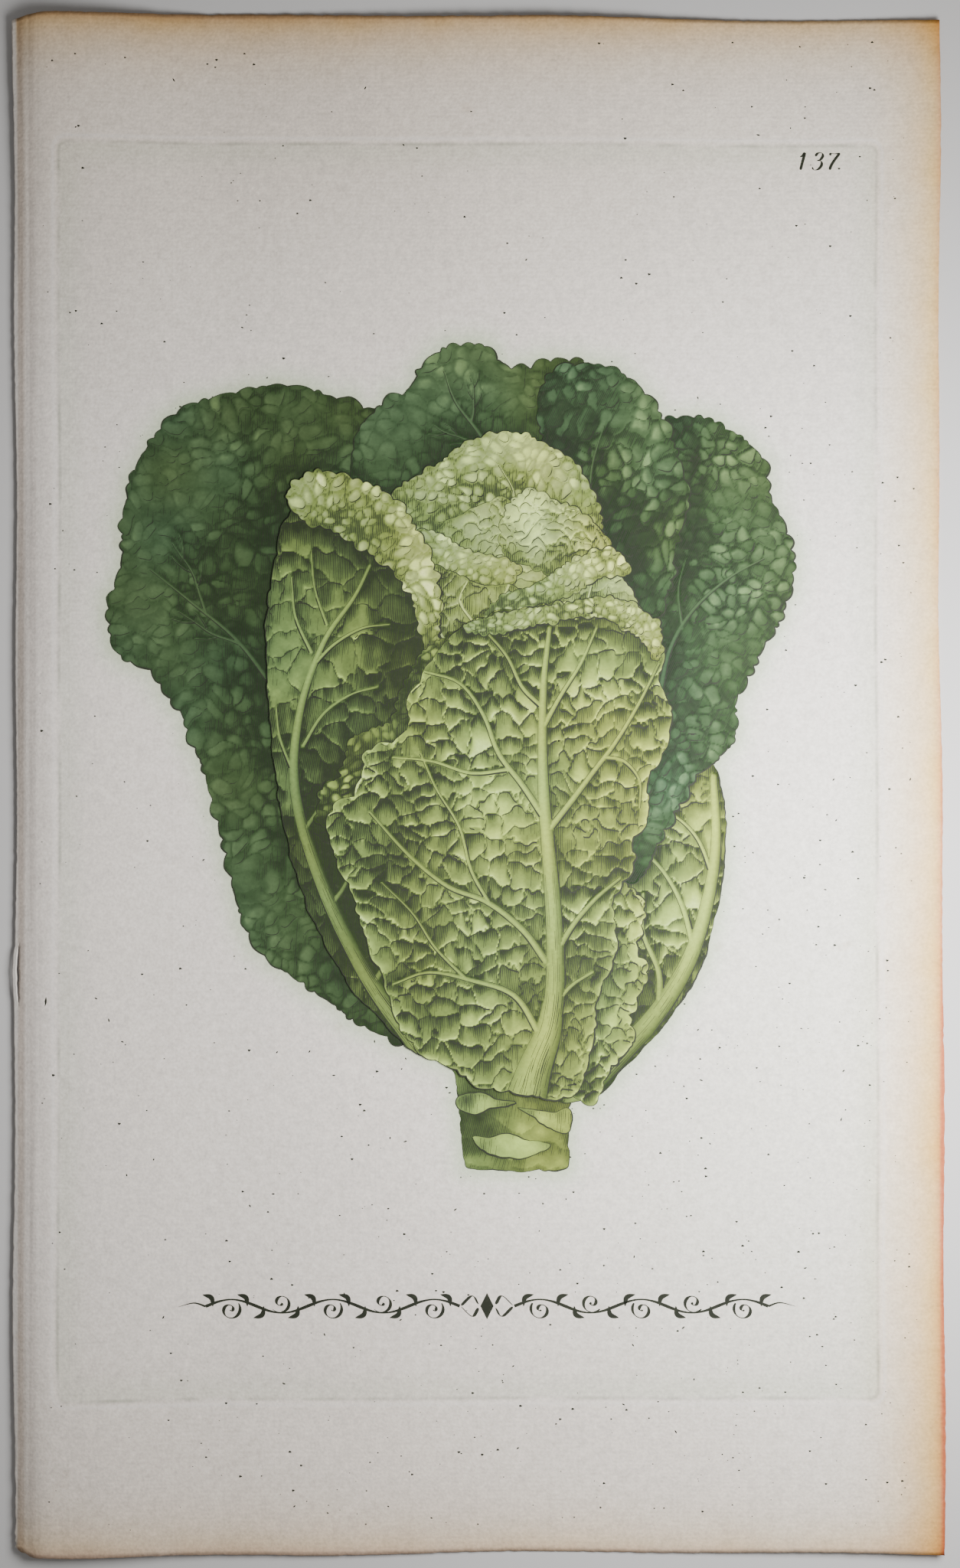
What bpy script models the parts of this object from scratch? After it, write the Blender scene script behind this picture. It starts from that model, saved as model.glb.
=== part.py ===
"""Botanical print: one loose leaf of heavy rag paper, lying face up.

The leaf is a single sheet. It is flat where it rests, its margins are cockled, its
left edge keeps the curl of the book's gutter, and the copper plate that printed it
has pressed a shallow rectangle with rounded corners into it. The frame has its origin
under the middle of the leaf, +X to the picture's right, +Y to its head and +Z up.
"""

import math

import bmesh
import bpy

# The leaf
LEAF_WIDTH = 0.237
LEAF_HEIGHT = 0.393
PAPER_THICKNESS = 0.0003

# The trimmed edges: the fore edge and the head aren't square, and all of them wander
FORE_EDGE_SLANT = 0.0008
HEAD_SLANT = 0.0006
EDGE_WANDER = 0.0006

# The plate mark: where the plate lay, how deep it pressed and how round its corners are
PLATE_WIDTH = 0.209
PLATE_HEIGHT = 0.321
PLATE_MIDDLE = (-0.0025, 0.0035)
PLATE_DEPTH = 0.00018
PLATE_BEVEL = 0.0016
PLATE_CORNER = 0.002

# The lie of the paper: where the margins leave the flat, and how far each one lifts
FLAT_HALF_WIDTH = 0.062
FLAT_HALF_HEIGHT = 0.105
GUTTER_LIFT = 0.0032
GUTTER_CREST = 0.010
GUTTER_DROP = 0.0024
FORE_EDGE_LIFT = 0.0012
HEAD_LIFT = 0.0018
TAIL_LIFT = 0.0012
COCKLE_LENGTH = 0.165

# The mesh: the widest step between two lines of its grid, and the step in the curl
GRID_STEP = 0.0125
CURL_STEP = 0.0025


def clear_scene():
    for item in list(bpy.data.objects):
        bpy.data.objects.remove(item, do_unlink=True)


def ease(share):
    """0 before 0, 1 after 1, and smooth between."""
    share = min(max(share, 0.0), 1.0)
    return share * share * (3 - 2 * share)


def rise(distance, start, end):
    """0 up to start, then ever steeper to 1 at end."""
    share = min(max((distance - start) / (end - start), 0.0), 1.0)
    return share * share


def cockle(along, phase):
    """How the lift of a margin swells and fades along its edge, from 0 to 1."""
    return 0.5 + 0.5 * math.sin(2 * math.pi * along / COCKLE_LENGTH + phase)


def gutter_curl(x, y):
    """The left margin climbs to a crest, then bends down again to the cut edge."""
    edge = LEAF_WIDTH / 2
    crest = edge - GUTTER_CREST
    climb = ease((-x - FLAT_HALF_WIDTH) / (crest - FLAT_HALF_WIDTH))
    swell = 0.8 + 0.2 * cockle(y, 0.6)
    return swell * (GUTTER_LIFT * climb - GUTTER_DROP * rise(-x, crest, edge))


def margin_lift(x, y):
    """The fore edge, the head and the tail rise a little, more in some stretches than in others."""
    fore_edge = FORE_EDGE_LIFT * cockle(y, 2.1) * rise(x, FLAT_HALF_WIDTH, LEAF_WIDTH / 2)
    head = HEAD_LIFT * cockle(x, 1.2) * rise(y, FLAT_HALF_HEIGHT, LEAF_HEIGHT / 2)
    tail = TAIL_LIFT * cockle(x, 4.0) * rise(-y, FLAT_HALF_HEIGHT, LEAF_HEIGHT / 2)
    return fore_edge + head + tail


def outside_plate(x, y):
    """Distance out from the plate's round-cornered outline, and negative inside it."""
    over_x = abs(x - PLATE_MIDDLE[0]) - (PLATE_WIDTH / 2 - PLATE_CORNER)
    over_y = abs(y - PLATE_MIDDLE[1]) - (PLATE_HEIGHT / 2 - PLATE_CORNER)
    past_corner = math.hypot(max(over_x, 0), max(over_y, 0))
    return past_corner + min(max(over_x, over_y), 0) - PLATE_CORNER


def underside(x, y):
    """Height of the leaf's back above what it lies on."""
    pressed = PLATE_DEPTH * ease(outside_plate(x, y) / PLATE_BEVEL)
    return pressed + gutter_curl(x, y) + margin_lift(x, y)


def wander(along, phase):
    """How far a trimmed edge strays from its straight line."""
    slow = math.sin(2 * math.pi * along / 0.31 + phase)
    quick = math.sin(2 * math.pi * along / 0.083 + 2.3 * phase)
    return EDGE_WANDER * (0.6 * slow + 0.4 * quick)


def trimmed(x, y):
    """Where a point of the true rectangle lies on the slightly uneven leaf."""
    across = x / (LEAF_WIDTH / 2)
    along = y / (LEAF_HEIGHT / 2)
    if x > 0:
        side = wander(y, 3.4) - FORE_EDGE_SLANT * along
    else:
        side = wander(y, 1.0)
    if y > 0:
        end = wander(x, 2.6) - HEAD_SLANT * across
    else:
        end = wander(x, 0.4)
    return x + across**6 * side, y + along**6 * end


def grid_lines(ends, exact, step):
    """Lines from one end to the other, no further apart than step, with some at exact places."""
    stops = sorted([*ends, *exact])
    lines = [stops[0]]
    for start, stop in zip(stops, stops[1:]):
        count = math.ceil((stop - start) / step)
        lines += [start + (stop - start) * n / count for n in range(1, count + 1)]
    return lines


def plate_edges(middle, size):
    """The plate's two sides across one axis, each with the foot of its bevel."""
    return [middle + side * (size / 2 + reach) for side in (-1, 1) for reach in (0, PLATE_BEVEL)]


def build_leaf(collection):
    left, right = -LEAF_WIDTH / 2, LEAF_WIDTH / 2
    foot, head = -LEAF_HEIGHT / 2, LEAF_HEIGHT / 2
    curl_start = left + 2 * GUTTER_CREST
    curl = grid_lines((left, curl_start), [], CURL_STEP)
    marks_x = [mark for mark in plate_edges(PLATE_MIDDLE[0], PLATE_WIDTH) if mark > curl_start]
    columns = curl + grid_lines((curl_start, right), marks_x, GRID_STEP)[1:]
    rows = grid_lines((foot, head), plate_edges(PLATE_MIDDLE[1], PLATE_HEIGHT), GRID_STEP)
    spans_x, spans_y = len(columns) - 1, len(rows) - 1

    surface = bmesh.new()
    bmesh.ops.create_grid(surface, x_segments=spans_x, y_segments=spans_y, size=0.5)
    for vertex in surface.verts:
        column = round((vertex.co.x + 0.5) * spans_x)
        row = round((vertex.co.y + 0.5) * spans_y)
        x, y = columns[column], rows[row]
        vertex.co = (*trimmed(x, y), underside(x, y))
    centre_on_origin(surface)

    mesh = bpy.data.meshes.new("paper_leaf")
    surface.to_mesh(mesh)
    surface.free()
    mesh.materials.append(rag_paper())

    leaf = bpy.data.objects.new("paper_leaf", mesh)
    collection.objects.link(leaf)
    paper = leaf.modifiers.new("paper thickness", "SOLIDIFY")
    paper.thickness = PAPER_THICKNESS
    paper.offset = 1


def centre_on_origin(surface):
    """Slides the surface so that the origin is under the middle of its bounding box."""
    xs = [vertex.co.x for vertex in surface.verts]
    ys = [vertex.co.y for vertex in surface.verts]
    middle = ((min(xs) + max(xs)) / 2, (min(ys) + max(ys)) / 2)
    bmesh.ops.translate(surface, verts=surface.verts, vec=(-middle[0], -middle[1], 0))


def rag_paper():
    material = bpy.data.materials.new("rag paper")
    material.use_nodes = True
    shader = material.node_tree.nodes["Principled BSDF"]
    shader.inputs["Base Color"].default_value = (0.68, 0.64, 0.6, 1)
    shader.inputs["Roughness"].default_value = 0.85
    shader.inputs["Metallic"].default_value = 0
    return material


def main():
    clear_scene()
    collection = bpy.data.collections.new("botanical print")
    bpy.context.scene.collection.children.link(collection)
    build_leaf(collection)


main()
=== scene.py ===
"""Looks of a botanical print: a folio leaf of laid paper with a hand-coloured cabbage engraving.

Everything is laid out on the leaf in millimetres from its middle, x to the right and y to
the head, and turned into metres only when a mesh is made. The picture is built as a
printmaker builds it: each pictured leaf has an outline, ribs and a crumpled surface. Its
tones are worked out once, and then laid down twice, as a film of watercolour and as ink
strokes that swell where the tone is dark.
"""

import math
from dataclasses import dataclass, field
from functools import cache

import bpy
import numpy as np
from bpy.props import FloatProperty, FloatVectorProperty, PointerProperty
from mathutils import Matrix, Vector


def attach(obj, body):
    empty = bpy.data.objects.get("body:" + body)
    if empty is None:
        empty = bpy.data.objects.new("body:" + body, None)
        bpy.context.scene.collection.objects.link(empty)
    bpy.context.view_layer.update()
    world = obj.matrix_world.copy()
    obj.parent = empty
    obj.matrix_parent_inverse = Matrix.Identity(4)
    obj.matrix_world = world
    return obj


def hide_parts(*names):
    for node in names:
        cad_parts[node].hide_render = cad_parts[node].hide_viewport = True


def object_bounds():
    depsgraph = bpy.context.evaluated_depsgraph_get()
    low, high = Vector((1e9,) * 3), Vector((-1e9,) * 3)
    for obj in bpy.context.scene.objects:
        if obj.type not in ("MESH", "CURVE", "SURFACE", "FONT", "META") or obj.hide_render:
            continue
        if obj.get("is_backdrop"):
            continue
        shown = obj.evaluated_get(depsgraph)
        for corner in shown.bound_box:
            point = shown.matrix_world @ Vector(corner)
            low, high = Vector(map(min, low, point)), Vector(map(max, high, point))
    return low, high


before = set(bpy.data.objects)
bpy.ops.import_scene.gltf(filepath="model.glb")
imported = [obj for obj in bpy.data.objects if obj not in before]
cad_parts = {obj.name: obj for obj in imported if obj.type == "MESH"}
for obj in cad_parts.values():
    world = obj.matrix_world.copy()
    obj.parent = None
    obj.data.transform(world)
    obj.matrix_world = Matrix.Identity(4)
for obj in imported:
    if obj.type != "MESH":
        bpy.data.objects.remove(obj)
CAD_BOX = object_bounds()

bl_info = {
    "name": "Botanical print",
    "version": (1, 0, 0),
    "blender": (4, 5, 0),
    "location": "View3D > Sidebar > Print",
    "description": "Builds a folio leaf with a hand-coloured cabbage engraving",
    "category": "Add Mesh",
}

MM = 0.001
FLAT_MAP = "OFBake"

# The leaf as the solid model has it, in millimetres
LEAF_WIDTH = 237.0
LEAF_HEIGHT = 393.0
FORE_EDGE_SLANT = 0.8
HEAD_SLANT = 0.6
EDGE_WANDER = 0.6
PLATE_SIZE = (209.0, 321.0)
PLATE_MIDDLE = (-2.5, 3.5)
PLATE_CORNER = 2.0
FLAT_HALF_WIDTH = 62.0
FLAT_HALF_HEIGHT = 105.0
GUTTER_LIFT = 3.2
GUTTER_CREST = 10.0
GUTTER_DROP = 2.4
FORE_EDGE_LIFT = 1.2
HEAD_LIFT = 1.8
TAIL_LIFT = 1.2
COCKLE_LENGTH = 165.0
WANDER_LENGTHS = (310.0, 83.0)

# Films of colour and ink lie on each other in order, this far apart
FILM = 0.012


# ---- Settings ----


def length_setting(name, description, default, low=0.0):
    return FloatProperty(
        name=name, description=description, default=default, min=low, unit="LENGTH", precision=5
    )


def colour_setting(name, description, default):
    return FloatVectorProperty(
        name=name, description=description, default=default, size=3, min=0, max=1, subtype="COLOR"
    )


class PaperSettings(bpy.types.PropertyGroup):
    """Sizes and colours of the leaf of paper."""

    thickness: length_setting("Thickness", "Thickness of the paper", 0.0003)
    mesh_step: length_setting("Mesh step", "Spacing of the paper's mesh", 0.0012, 0.0005)
    plate_depth: length_setting("Plate mark depth", "How deep the plate pressed the paper", 0.00018)
    plate_bevel: length_setting("Plate mark bevel", "Width of the plate mark's slope", 0.0009, 0.0001)
    deckle: length_setting("Edge roughness", "How far the cut edges are roughened", 0.00016)
    laid_pitch: length_setting("Laid line pitch", "Spacing of the laid lines", 0.0011, 0.0002)
    chain_pitch: length_setting("Chain line pitch", "Spacing of the chain lines", 0.026, 0.005)
    sheet_colour: colour_setting("Sheet", "Colour of the clean paper", (0.81, 0.742, 0.675))
    cloud_colour: colour_setting("Clouds", "Colour of its lighter clouds", (0.85, 0.782, 0.71))
    tone_colour: colour_setting("Browning", "Tint of the browned margins", (0.80, 0.58, 0.25))
    fore_colour: colour_setting("Fore edge", "Tint of the fore edge's margin", (0.92, 0.64, 0.20))
    burnt_colour: colour_setting("Burnt edge", "Tint of the head and tail edges", (0.32, 0.22, 0.70))
    stain_colour: colour_setting("Edge stain", "The book's stain on the fore edge", (0.85, 0.28, 0.30))
    bleed_colour: colour_setting("Bleed", "Green bled round the picture", (0.50, 0.60, 0.38))


class PictureSettings(bpy.types.PropertyGroup):
    """Sizes and colours of the engraving."""

    wash_step: length_setting("Wash step", "Spacing of the wash films' mesh", 0.0003, 0.0001)
    hatch_pitch: length_setting("Hatch pitch", "Spacing of the hatching", 0.00052, 0.0002)
    line_width: length_setting("Line width", "Width of a full ink line", 0.00036, 0.00005)
    ink_colour: colour_setting("Ink", "Colour of the printing ink", (0.016, 0.020, 0.009))
    deep_green: colour_setting("Deep green", "Darkest wash of the outer leaves", (0.014, 0.034, 0.009))
    leaf_green: colour_setting("Leaf green", "Body of the outer leaves", (0.040, 0.075, 0.029))
    grey_green: colour_setting("Grey green", "Light on their blisters", (0.078, 0.132, 0.056))
    bloom_green: colour_setting("Bloom", "Brightest of their blisters", (0.170, 0.270, 0.105))
    deep_olive: colour_setting("Deep olive", "Darkest shade on the inner leaves", (0.026, 0.043, 0.010))
    olive: colour_setting("Olive", "Shade on the inner leaves", (0.078, 0.112, 0.030))
    yellow_green: colour_setting("Yellow green", "Body of the inner leaves", (0.185, 0.250, 0.058))
    soft_green: colour_setting("Soft green", "Body of the heart's leaves", (0.300, 0.375, 0.135))
    pale_green: colour_setting("Pale green", "Ribs and lit folds", (0.420, 0.550, 0.110))
    cream: colour_setting("Cream", "Lit lips and beads", (0.590, 0.740, 0.215))
    bleached: colour_setting("Bleached", "Whitest leaves of the heart", (0.760, 0.880, 0.360))


class StageSettings(bpy.types.PropertyGroup):
    """The floor, the light and the camera."""

    floor_colour: colour_setting("Floor", "Colour of the floor", (0.62, 0.61, 0.60))
    camera_height: length_setting("Camera height", "Height of the camera above the leaf", 0.558, 0.1)
    lamp_power: FloatProperty(
        name="Softbox", description="Power of the softbox", default=1.56, min=0, unit="POWER"
    )
    fill: FloatProperty(name="Fill", description="Strength of the even fill light", default=0.22, min=0)


# ---- Chance, curves and fields, all in millimetres ----


def lots(cells, seed):
    """A fixed random number from 0 to 1 for each pair of whole numbers."""
    across = cells[..., 0].astype(np.int64).astype(np.uint32)
    along = cells[..., 1].astype(np.int64).astype(np.uint32)
    start = np.uint32(seed * 1013904223 % 2**32)
    mixed = across * np.uint32(374761393) + along * np.uint32(668265263) + start
    mixed = (mixed ^ (mixed >> np.uint32(13))) * np.uint32(1274126177)
    mixed = (mixed ^ (mixed >> np.uint32(16))) * np.uint32(2246822519)
    return (mixed ^ (mixed >> np.uint32(15))).astype(np.float64) / 2**32


def ease(share):
    """0 below 0, 1 above 1, and a smooth climb between them."""
    share = np.clip(share, 0, 1)
    return share * share * (3 - 2 * share)


def mottle(spots, size, seed):
    """Smooth noise from -1 to 1 with blotches of about this size."""
    scaled = spots / size
    corner = np.floor(scaled)
    share = ease(scaled - corner)
    near = [lots(corner + (dx, dy), seed) for dy in (0, 1) for dx in (0, 1)]
    low = near[0] + (near[1] - near[0]) * share[..., 0]
    high = near[2] + (near[3] - near[2]) * share[..., 0]
    return 2 * (low + (high - low) * share[..., 1]) - 1


def run_along(path):
    """How far along a line each of its points lies."""
    return np.r_[0, np.cumsum(np.hypot(*np.diff(path, axis=0).T))]


def even_steps(path, step):
    """The same line with its points evenly spaced."""
    run = run_along(path)
    marks = np.linspace(0, run[-1], max(3, round(run[-1] / step) + 1))
    return np.column_stack([np.interp(marks, run, path[:, n]) for n in (0, 1)])


def smooth_path(points, step, closed=False):
    """A smooth curve through a few chosen points."""
    knots = np.asarray(points, float)
    if closed:
        ring = np.vstack([knots[-1:], knots, knots[:2]])
    else:
        ring = np.vstack([2 * knots[:1] - knots[1:2], knots, 2 * knots[-1:] - knots[-2:-1]])
    share = np.linspace(0, 1, 16, endpoint=False)[:, None]
    spans = []
    for before, start, end, after in zip(ring, ring[1:], ring[2:], ring[3:]):
        bend = 2 * before - 5 * start + 4 * end - after
        twist = 3 * start - before - 3 * end + after
        spans.append(start + 0.5 * share * (end - before + share * (bend + share * twist)))
    last = knots[:1] if closed else knots[-1:]
    return even_steps(np.vstack([*spans, last]), step)


def leftward(path):
    """Unit vectors to the left of a line's direction of travel."""
    along = np.gradient(path, axis=0)
    along /= np.maximum(np.hypot(*along.T), 1e-9)[:, None]
    return np.column_stack([-along[:, 1], along[:, 0]])


def heading(angle):
    """The unit vector at an angle in degrees."""
    return np.array([math.cos(math.radians(angle)), math.sin(math.radians(angle))])


def counter_clockwise(outline):
    """The same closed outline, turned round if it runs clockwise."""
    x, y = outline.T
    area = np.sum(x * np.roll(y, -1) - np.roll(x, -1) * y)
    return outline if area > 0 else outline[::-1]


def lobed(outline, length, depth, seed):
    """An outline swollen into lobes of uneven size, with nicks between them and an unsteady line."""
    chance = np.random.default_rng(seed)
    run = run_along(outline)
    sizes = chance.uniform(0.35, 1.65, max(3, round(run[-1] / length)))
    swell = depth * chance.uniform(0.25, 1.35, len(sizes)) * sizes**0.6
    marks = np.r_[0, np.cumsum(sizes)] * run[-1] / sizes.sum()
    place = np.clip(np.searchsorted(marks, run, side="right") - 1, 0, len(sizes) - 1)
    share = (run - marks[place]) / (marks[place + 1] - marks[place])
    bulge = swell[place] * np.sin(np.pi * np.clip(share, 0, 1)) ** 0.7
    unsteady = 0.16 * mottle(outline, 1.4, seed) + 0.35 * mottle(outline, 3.7, seed + 1)
    return outline - leftward(outline) * (bulge + unsteady)[:, None]


def batches(count, size):
    """Slices that cover a count of things, so that no array grows too large."""
    return [slice(first, first + size) for first in range(0, count, size)]


def nearest(spots, starts, ends, start_width, end_width):
    """How far each spot is outside the nearest of several tapering strokes, and how far across it lies.

    The second number is 0 on a stroke's middle line, and -1 and 1 on its right and left edges.
    """
    outside = np.full(len(spots), 1e3)
    across = np.zeros(len(spots))
    span = ends - starts
    length2 = np.maximum((span**2).sum(1), 1e-9)
    for part in batches(len(spots), 6000):
        gap = spots[part, None, :] - starts[None]
        share = np.clip((gap * span).sum(2) / length2, 0, 1)
        away = gap - share[..., None] * span
        half = (start_width + (end_width - start_width) * share) / 2
        distance = np.hypot(away[..., 0], away[..., 1])
        over = distance - half
        pick = over.argmin(1)
        rows = np.arange(len(pick))
        side = np.sign(span[pick, 0] * away[rows, pick, 1] - span[pick, 1] * away[rows, pick, 0])
        outside[part] = over[rows, pick]
        across[part] = side * distance[rows, pick] / np.maximum(half[rows, pick], 0.05)
    return outside, across


def depth_inside(spots, outline):
    """How deep each spot lies inside a closed outline, negative outside it."""
    starts, ends = outline, np.roll(outline, -1, axis=0)
    thin = np.zeros(len(starts))
    distance, _ = nearest(spots, starts, ends, thin, thin)
    climb = ends[:, 1] - starts[:, 1]
    slope = (ends[:, 0] - starts[:, 0]) / np.where(climb == 0, 1e-9, climb)
    inside = np.zeros(len(spots), bool)
    for part in batches(len(spots), 20000):
        x, y = spots[part, 0, None], spots[part, 1, None]
        crosses = (starts[:, 1] > y) != (ends[:, 1] > y)
        inside[part] = (crosses & (x < starts[:, 0] + slope * (y - starts[:, 1]))).sum(1) % 2 == 1
    return np.where(inside, distance, -distance)


@dataclass
class Cells:
    """A crumpled surface cut into cells, and where each spot lies in its own."""

    border: np.ndarray  # distance to the nearest border, in millimetres
    offset: np.ndarray  # from the cell's middle, in cell sizes
    lot: np.ndarray  # a random number for the cell


def cells_at(spots, size, seed, jitter=0.9):
    """The cell of each spot, in cells of about this size."""
    scaled = spots / size
    base = np.floor(scaled)
    around = [base + (dx, dy) for dx in (-1, 0, 1) for dy in (-1, 0, 1)]
    jogs = [np.column_stack([lots(cell, seed), lots(cell, seed + 1)]) - 0.5 for cell in around]
    gaps = np.stack([scaled - (cell + 0.5 + jitter * jog) for cell, jog in zip(around, jogs)], 1)
    apart = (gaps**2).sum(2)
    own = apart.argmin(1)
    rows = np.arange(len(own))
    offset = gaps[rows, own]
    between = np.hypot(*np.moveaxis((offset[:, None] - gaps) / size, 2, 0))
    reach = (apart - apart[rows, own][:, None]) / 2 / np.maximum(between, 1e-6)
    reach[rows, own] = 1e3
    return Cells(reach.min(1), offset, lots(np.stack(around, 1)[rows, own], seed + 2))


def grid_quads(rows, columns):
    """The squares of a grid of points numbered along its rows."""
    index = np.arange(rows * columns).reshape(rows, columns)
    corners = [index[:-1, :-1], index[:-1, 1:], index[1:, 1:], index[1:, :-1]]
    return np.stack(corners, -1).reshape(-1, 4)


class Board:
    """A rectangle of evenly spaced spots, and ways to read fields laid out on it."""

    def __init__(self, low, high, step):
        self.low = np.asarray(low, float)
        self.step = step
        self.shape = tuple(int(n) for n in np.ceil((np.asarray(high) - self.low) / step)[::-1] + 1)
        rows, columns = np.mgrid[: self.shape[0], : self.shape[1]]
        self.spots = np.column_stack([columns.ravel(), rows.ravel()]) * step + self.low

    def quads(self):
        """The board's squares, each as the numbers of its four spots."""
        return grid_quads(*self.shape)

    def read(self, values, spots):
        """Values at any spots, from the four nearest on the board."""
        at = (spots - self.low) / self.step
        rows, columns = self.shape
        column = np.clip(at[:, 0], 0, columns - 1.001)
        row = np.clip(at[:, 1], 0, rows - 1.001)
        c, r = column.astype(int), row.astype(int)
        u, v = column - c, row - r
        grid = values.reshape(self.shape)
        low = grid[r, c] * (1 - u) + grid[r, c + 1] * u
        high = grid[r + 1, c] * (1 - u) + grid[r + 1, c + 1] * u
        return low * (1 - v) + high * v

    def slopes(self, values):
        """How steeply values climb towards the head, from -1 to 1."""
        up, across = np.gradient(values.reshape(self.shape))
        return (up / np.maximum(np.hypot(up, across), 1e-9)).ravel()

    def hung(self, marks, fall, way):
        """Shade that spreads from marks and fades over fall millimetres: down if way is -1, up if 1."""
        grid = marks.reshape(self.shape).copy()
        keep = np.exp(-self.step / fall).reshape(self.shape)
        rows = range(self.shape[0] - 2, -1, -1) if way < 0 else range(1, self.shape[0])
        for row in rows:
            last = grid[row - way]
            spread = 0.7 * last + 0.15 * np.r_[last[1:], last[-1:]] + 0.15 * np.r_[last[:1], last[:-1]]
            grid[row] = np.maximum(grid[row], spread * keep[row])
        return grid.ravel()

    def contours(self, values, level, shortest):
        """The lines where values pass this level, as smooth paths longer than shortest."""
        grid = values.reshape(self.shape) - level
        above = grid > 0
        flat = np.arange(grid.size).reshape(self.shape)
        # A crossing on a side is numbered by the side's first corner: even along a row, odd up a column
        sides = [
            (above[:-1, :-1] != above[:-1, 1:], 2 * flat[:-1, :-1]),
            (above[:-1, 1:] != above[1:, 1:], 2 * flat[:-1, 1:] + 1),
            (above[1:, :-1] != above[1:, 1:], 2 * flat[1:, :-1]),
            (above[:-1, :-1] != above[1:, :-1], 2 * flat[:-1, :-1] + 1),
        ]
        crossed = np.stack([side for side, _ in sides], -1)
        numbers = np.stack([number for _, number in sides], -1)
        joined = {}
        for marks, ids in zip(crossed[crossed.any(-1)], numbers[crossed.any(-1)]):
            ends = ids[marks]
            for start, end in zip(ends[::2], ends[1::2]):
                joined.setdefault(start, []).append(end)
                joined.setdefault(end, []).append(start)
        return [path for path in self._paths(joined, grid) if len(path) * self.step > shortest]

    def _paths(self, joined, grid):
        """Follows joined crossings from end to end, open lines first."""
        waiting = sorted(joined, key=lambda number: len(joined[number]))
        used = set()
        for start in waiting:
            if start in used:
                continue
            chain, here = [start], start
            used.add(start)
            while True:
                onward = [number for number in joined[here] if number not in used]
                if not onward:
                    break
                here = onward[0]
                used.add(here)
                chain.append(here)
            if len(chain) > 2 and start in joined[here]:
                chain.append(start)
            yield self._places(np.array(chain), grid)

    def _places(self, chain, grid):
        """Where a line of numbered crossings runs, smoothed a little."""
        corner, upward = chain // 2, chain % 2
        row, column = corner // self.shape[1], corner % self.shape[1]
        here = grid[row, column]
        there = grid[row + upward, column + 1 - upward]
        share = here / (here - there)
        spots = np.column_stack([column + share * (1 - upward), row + share * upward])
        for _ in range(2):
            spots[1:-1] = (spots[:-2] + 2 * spots[1:-1] + spots[2:]) / 4
        return spots * self.step + self.low


# ---- The lie of the paper ----


def rise(distance, start, end):
    """A lift that grows with the square of the way from start to end."""
    share = np.clip((distance - start) / (end - start), 0, 1)
    return share * share


def cockle(along, phase):
    """The slow waves of paper that was once damp, from 0 to 1."""
    return 0.5 + 0.5 * np.sin(2 * np.pi * along / COCKLE_LENGTH + phase)


def wander(along, phase):
    """How far a trimmed edge strays from its straight line."""
    slow = np.sin(2 * np.pi * along / WANDER_LENGTHS[0] + phase)
    quick = np.sin(2 * np.pi * along / WANDER_LENGTHS[1] + 2.3 * phase)
    return EDGE_WANDER * (0.6 * slow + 0.4 * quick)


def trimmed(x, y):
    """Where points of the true rectangle lie on the slightly uneven leaf."""
    across = x / (LEAF_WIDTH / 2)
    along = y / (LEAF_HEIGHT / 2)
    side = np.where(x > 0, wander(y, 3.4) - FORE_EDGE_SLANT * along, wander(y, 1.0))
    end = np.where(y > 0, wander(x, 2.6) - HEAD_SLANT * across, wander(x, 0.4))
    return x + across**6 * side, y + along**6 * end


def outside_plate(x, y):
    """Distance out from the plate's round-cornered outline, and negative inside it."""
    over_x = np.abs(x - PLATE_MIDDLE[0]) - (PLATE_SIZE[0] / 2 - PLATE_CORNER)
    over_y = np.abs(y - PLATE_MIDDLE[1]) - (PLATE_SIZE[1] / 2 - PLATE_CORNER)
    past_corner = np.hypot(np.maximum(over_x, 0), np.maximum(over_y, 0))
    return past_corner + np.minimum(np.maximum(over_x, over_y), 0) - PLATE_CORNER


def underside(x, y, plate_depth, plate_bevel):
    """Height of the leaf's back above the floor."""
    edge = LEAF_WIDTH / 2
    crest = edge - GUTTER_CREST
    climb = ease((-x - FLAT_HALF_WIDTH) / (crest - FLAT_HALF_WIDTH))
    swell = 0.8 + 0.2 * cockle(y, 0.6)
    gutter = swell * (GUTTER_LIFT * climb - GUTTER_DROP * rise(-x, crest, edge))
    fore_edge = FORE_EDGE_LIFT * cockle(y, 2.1) * rise(x, FLAT_HALF_WIDTH, edge)
    head = HEAD_LIFT * cockle(x, 1.2) * rise(y, FLAT_HALF_HEIGHT, LEAF_HEIGHT / 2)
    tail = TAIL_LIFT * cockle(x, 4.0) * rise(-y, FLAT_HALF_HEIGHT, LEAF_HEIGHT / 2)
    pressed = plate_depth * ease(outside_plate(x, y) / plate_bevel)
    return pressed + gutter + fore_edge + head + tail


def leaf_middle():
    """The middle of the uneven leaf's box, which is the frame's origin."""
    x = np.linspace(-LEAF_WIDTH / 2, LEAF_WIDTH / 2, 200)
    y = np.linspace(-LEAF_HEIGHT / 2, LEAF_HEIGHT / 2, 200)
    sides = np.concatenate([trimmed(np.full_like(y, edge), y)[0] for edge in (x[0], x[-1])])
    ends = np.concatenate([trimmed(x, np.full_like(x, edge))[1] for edge in (y[0], y[-1])])
    return np.array([sides.min() + sides.max(), ends.min() + ends.max()]) / 2


MIDDLE = leaf_middle()


def on_paper(spots, level, paper):
    """Places in metres on the leaf's face, level films above it."""
    places = spots + MIDDLE
    height = underside(places[:, 0], places[:, 1], paper.plate_depth / MM, paper.plate_bevel / MM)
    height = height + paper.thickness / MM + level * FILM
    return np.column_stack([spots, height]) * MM


# ---- Meshes ----


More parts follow.
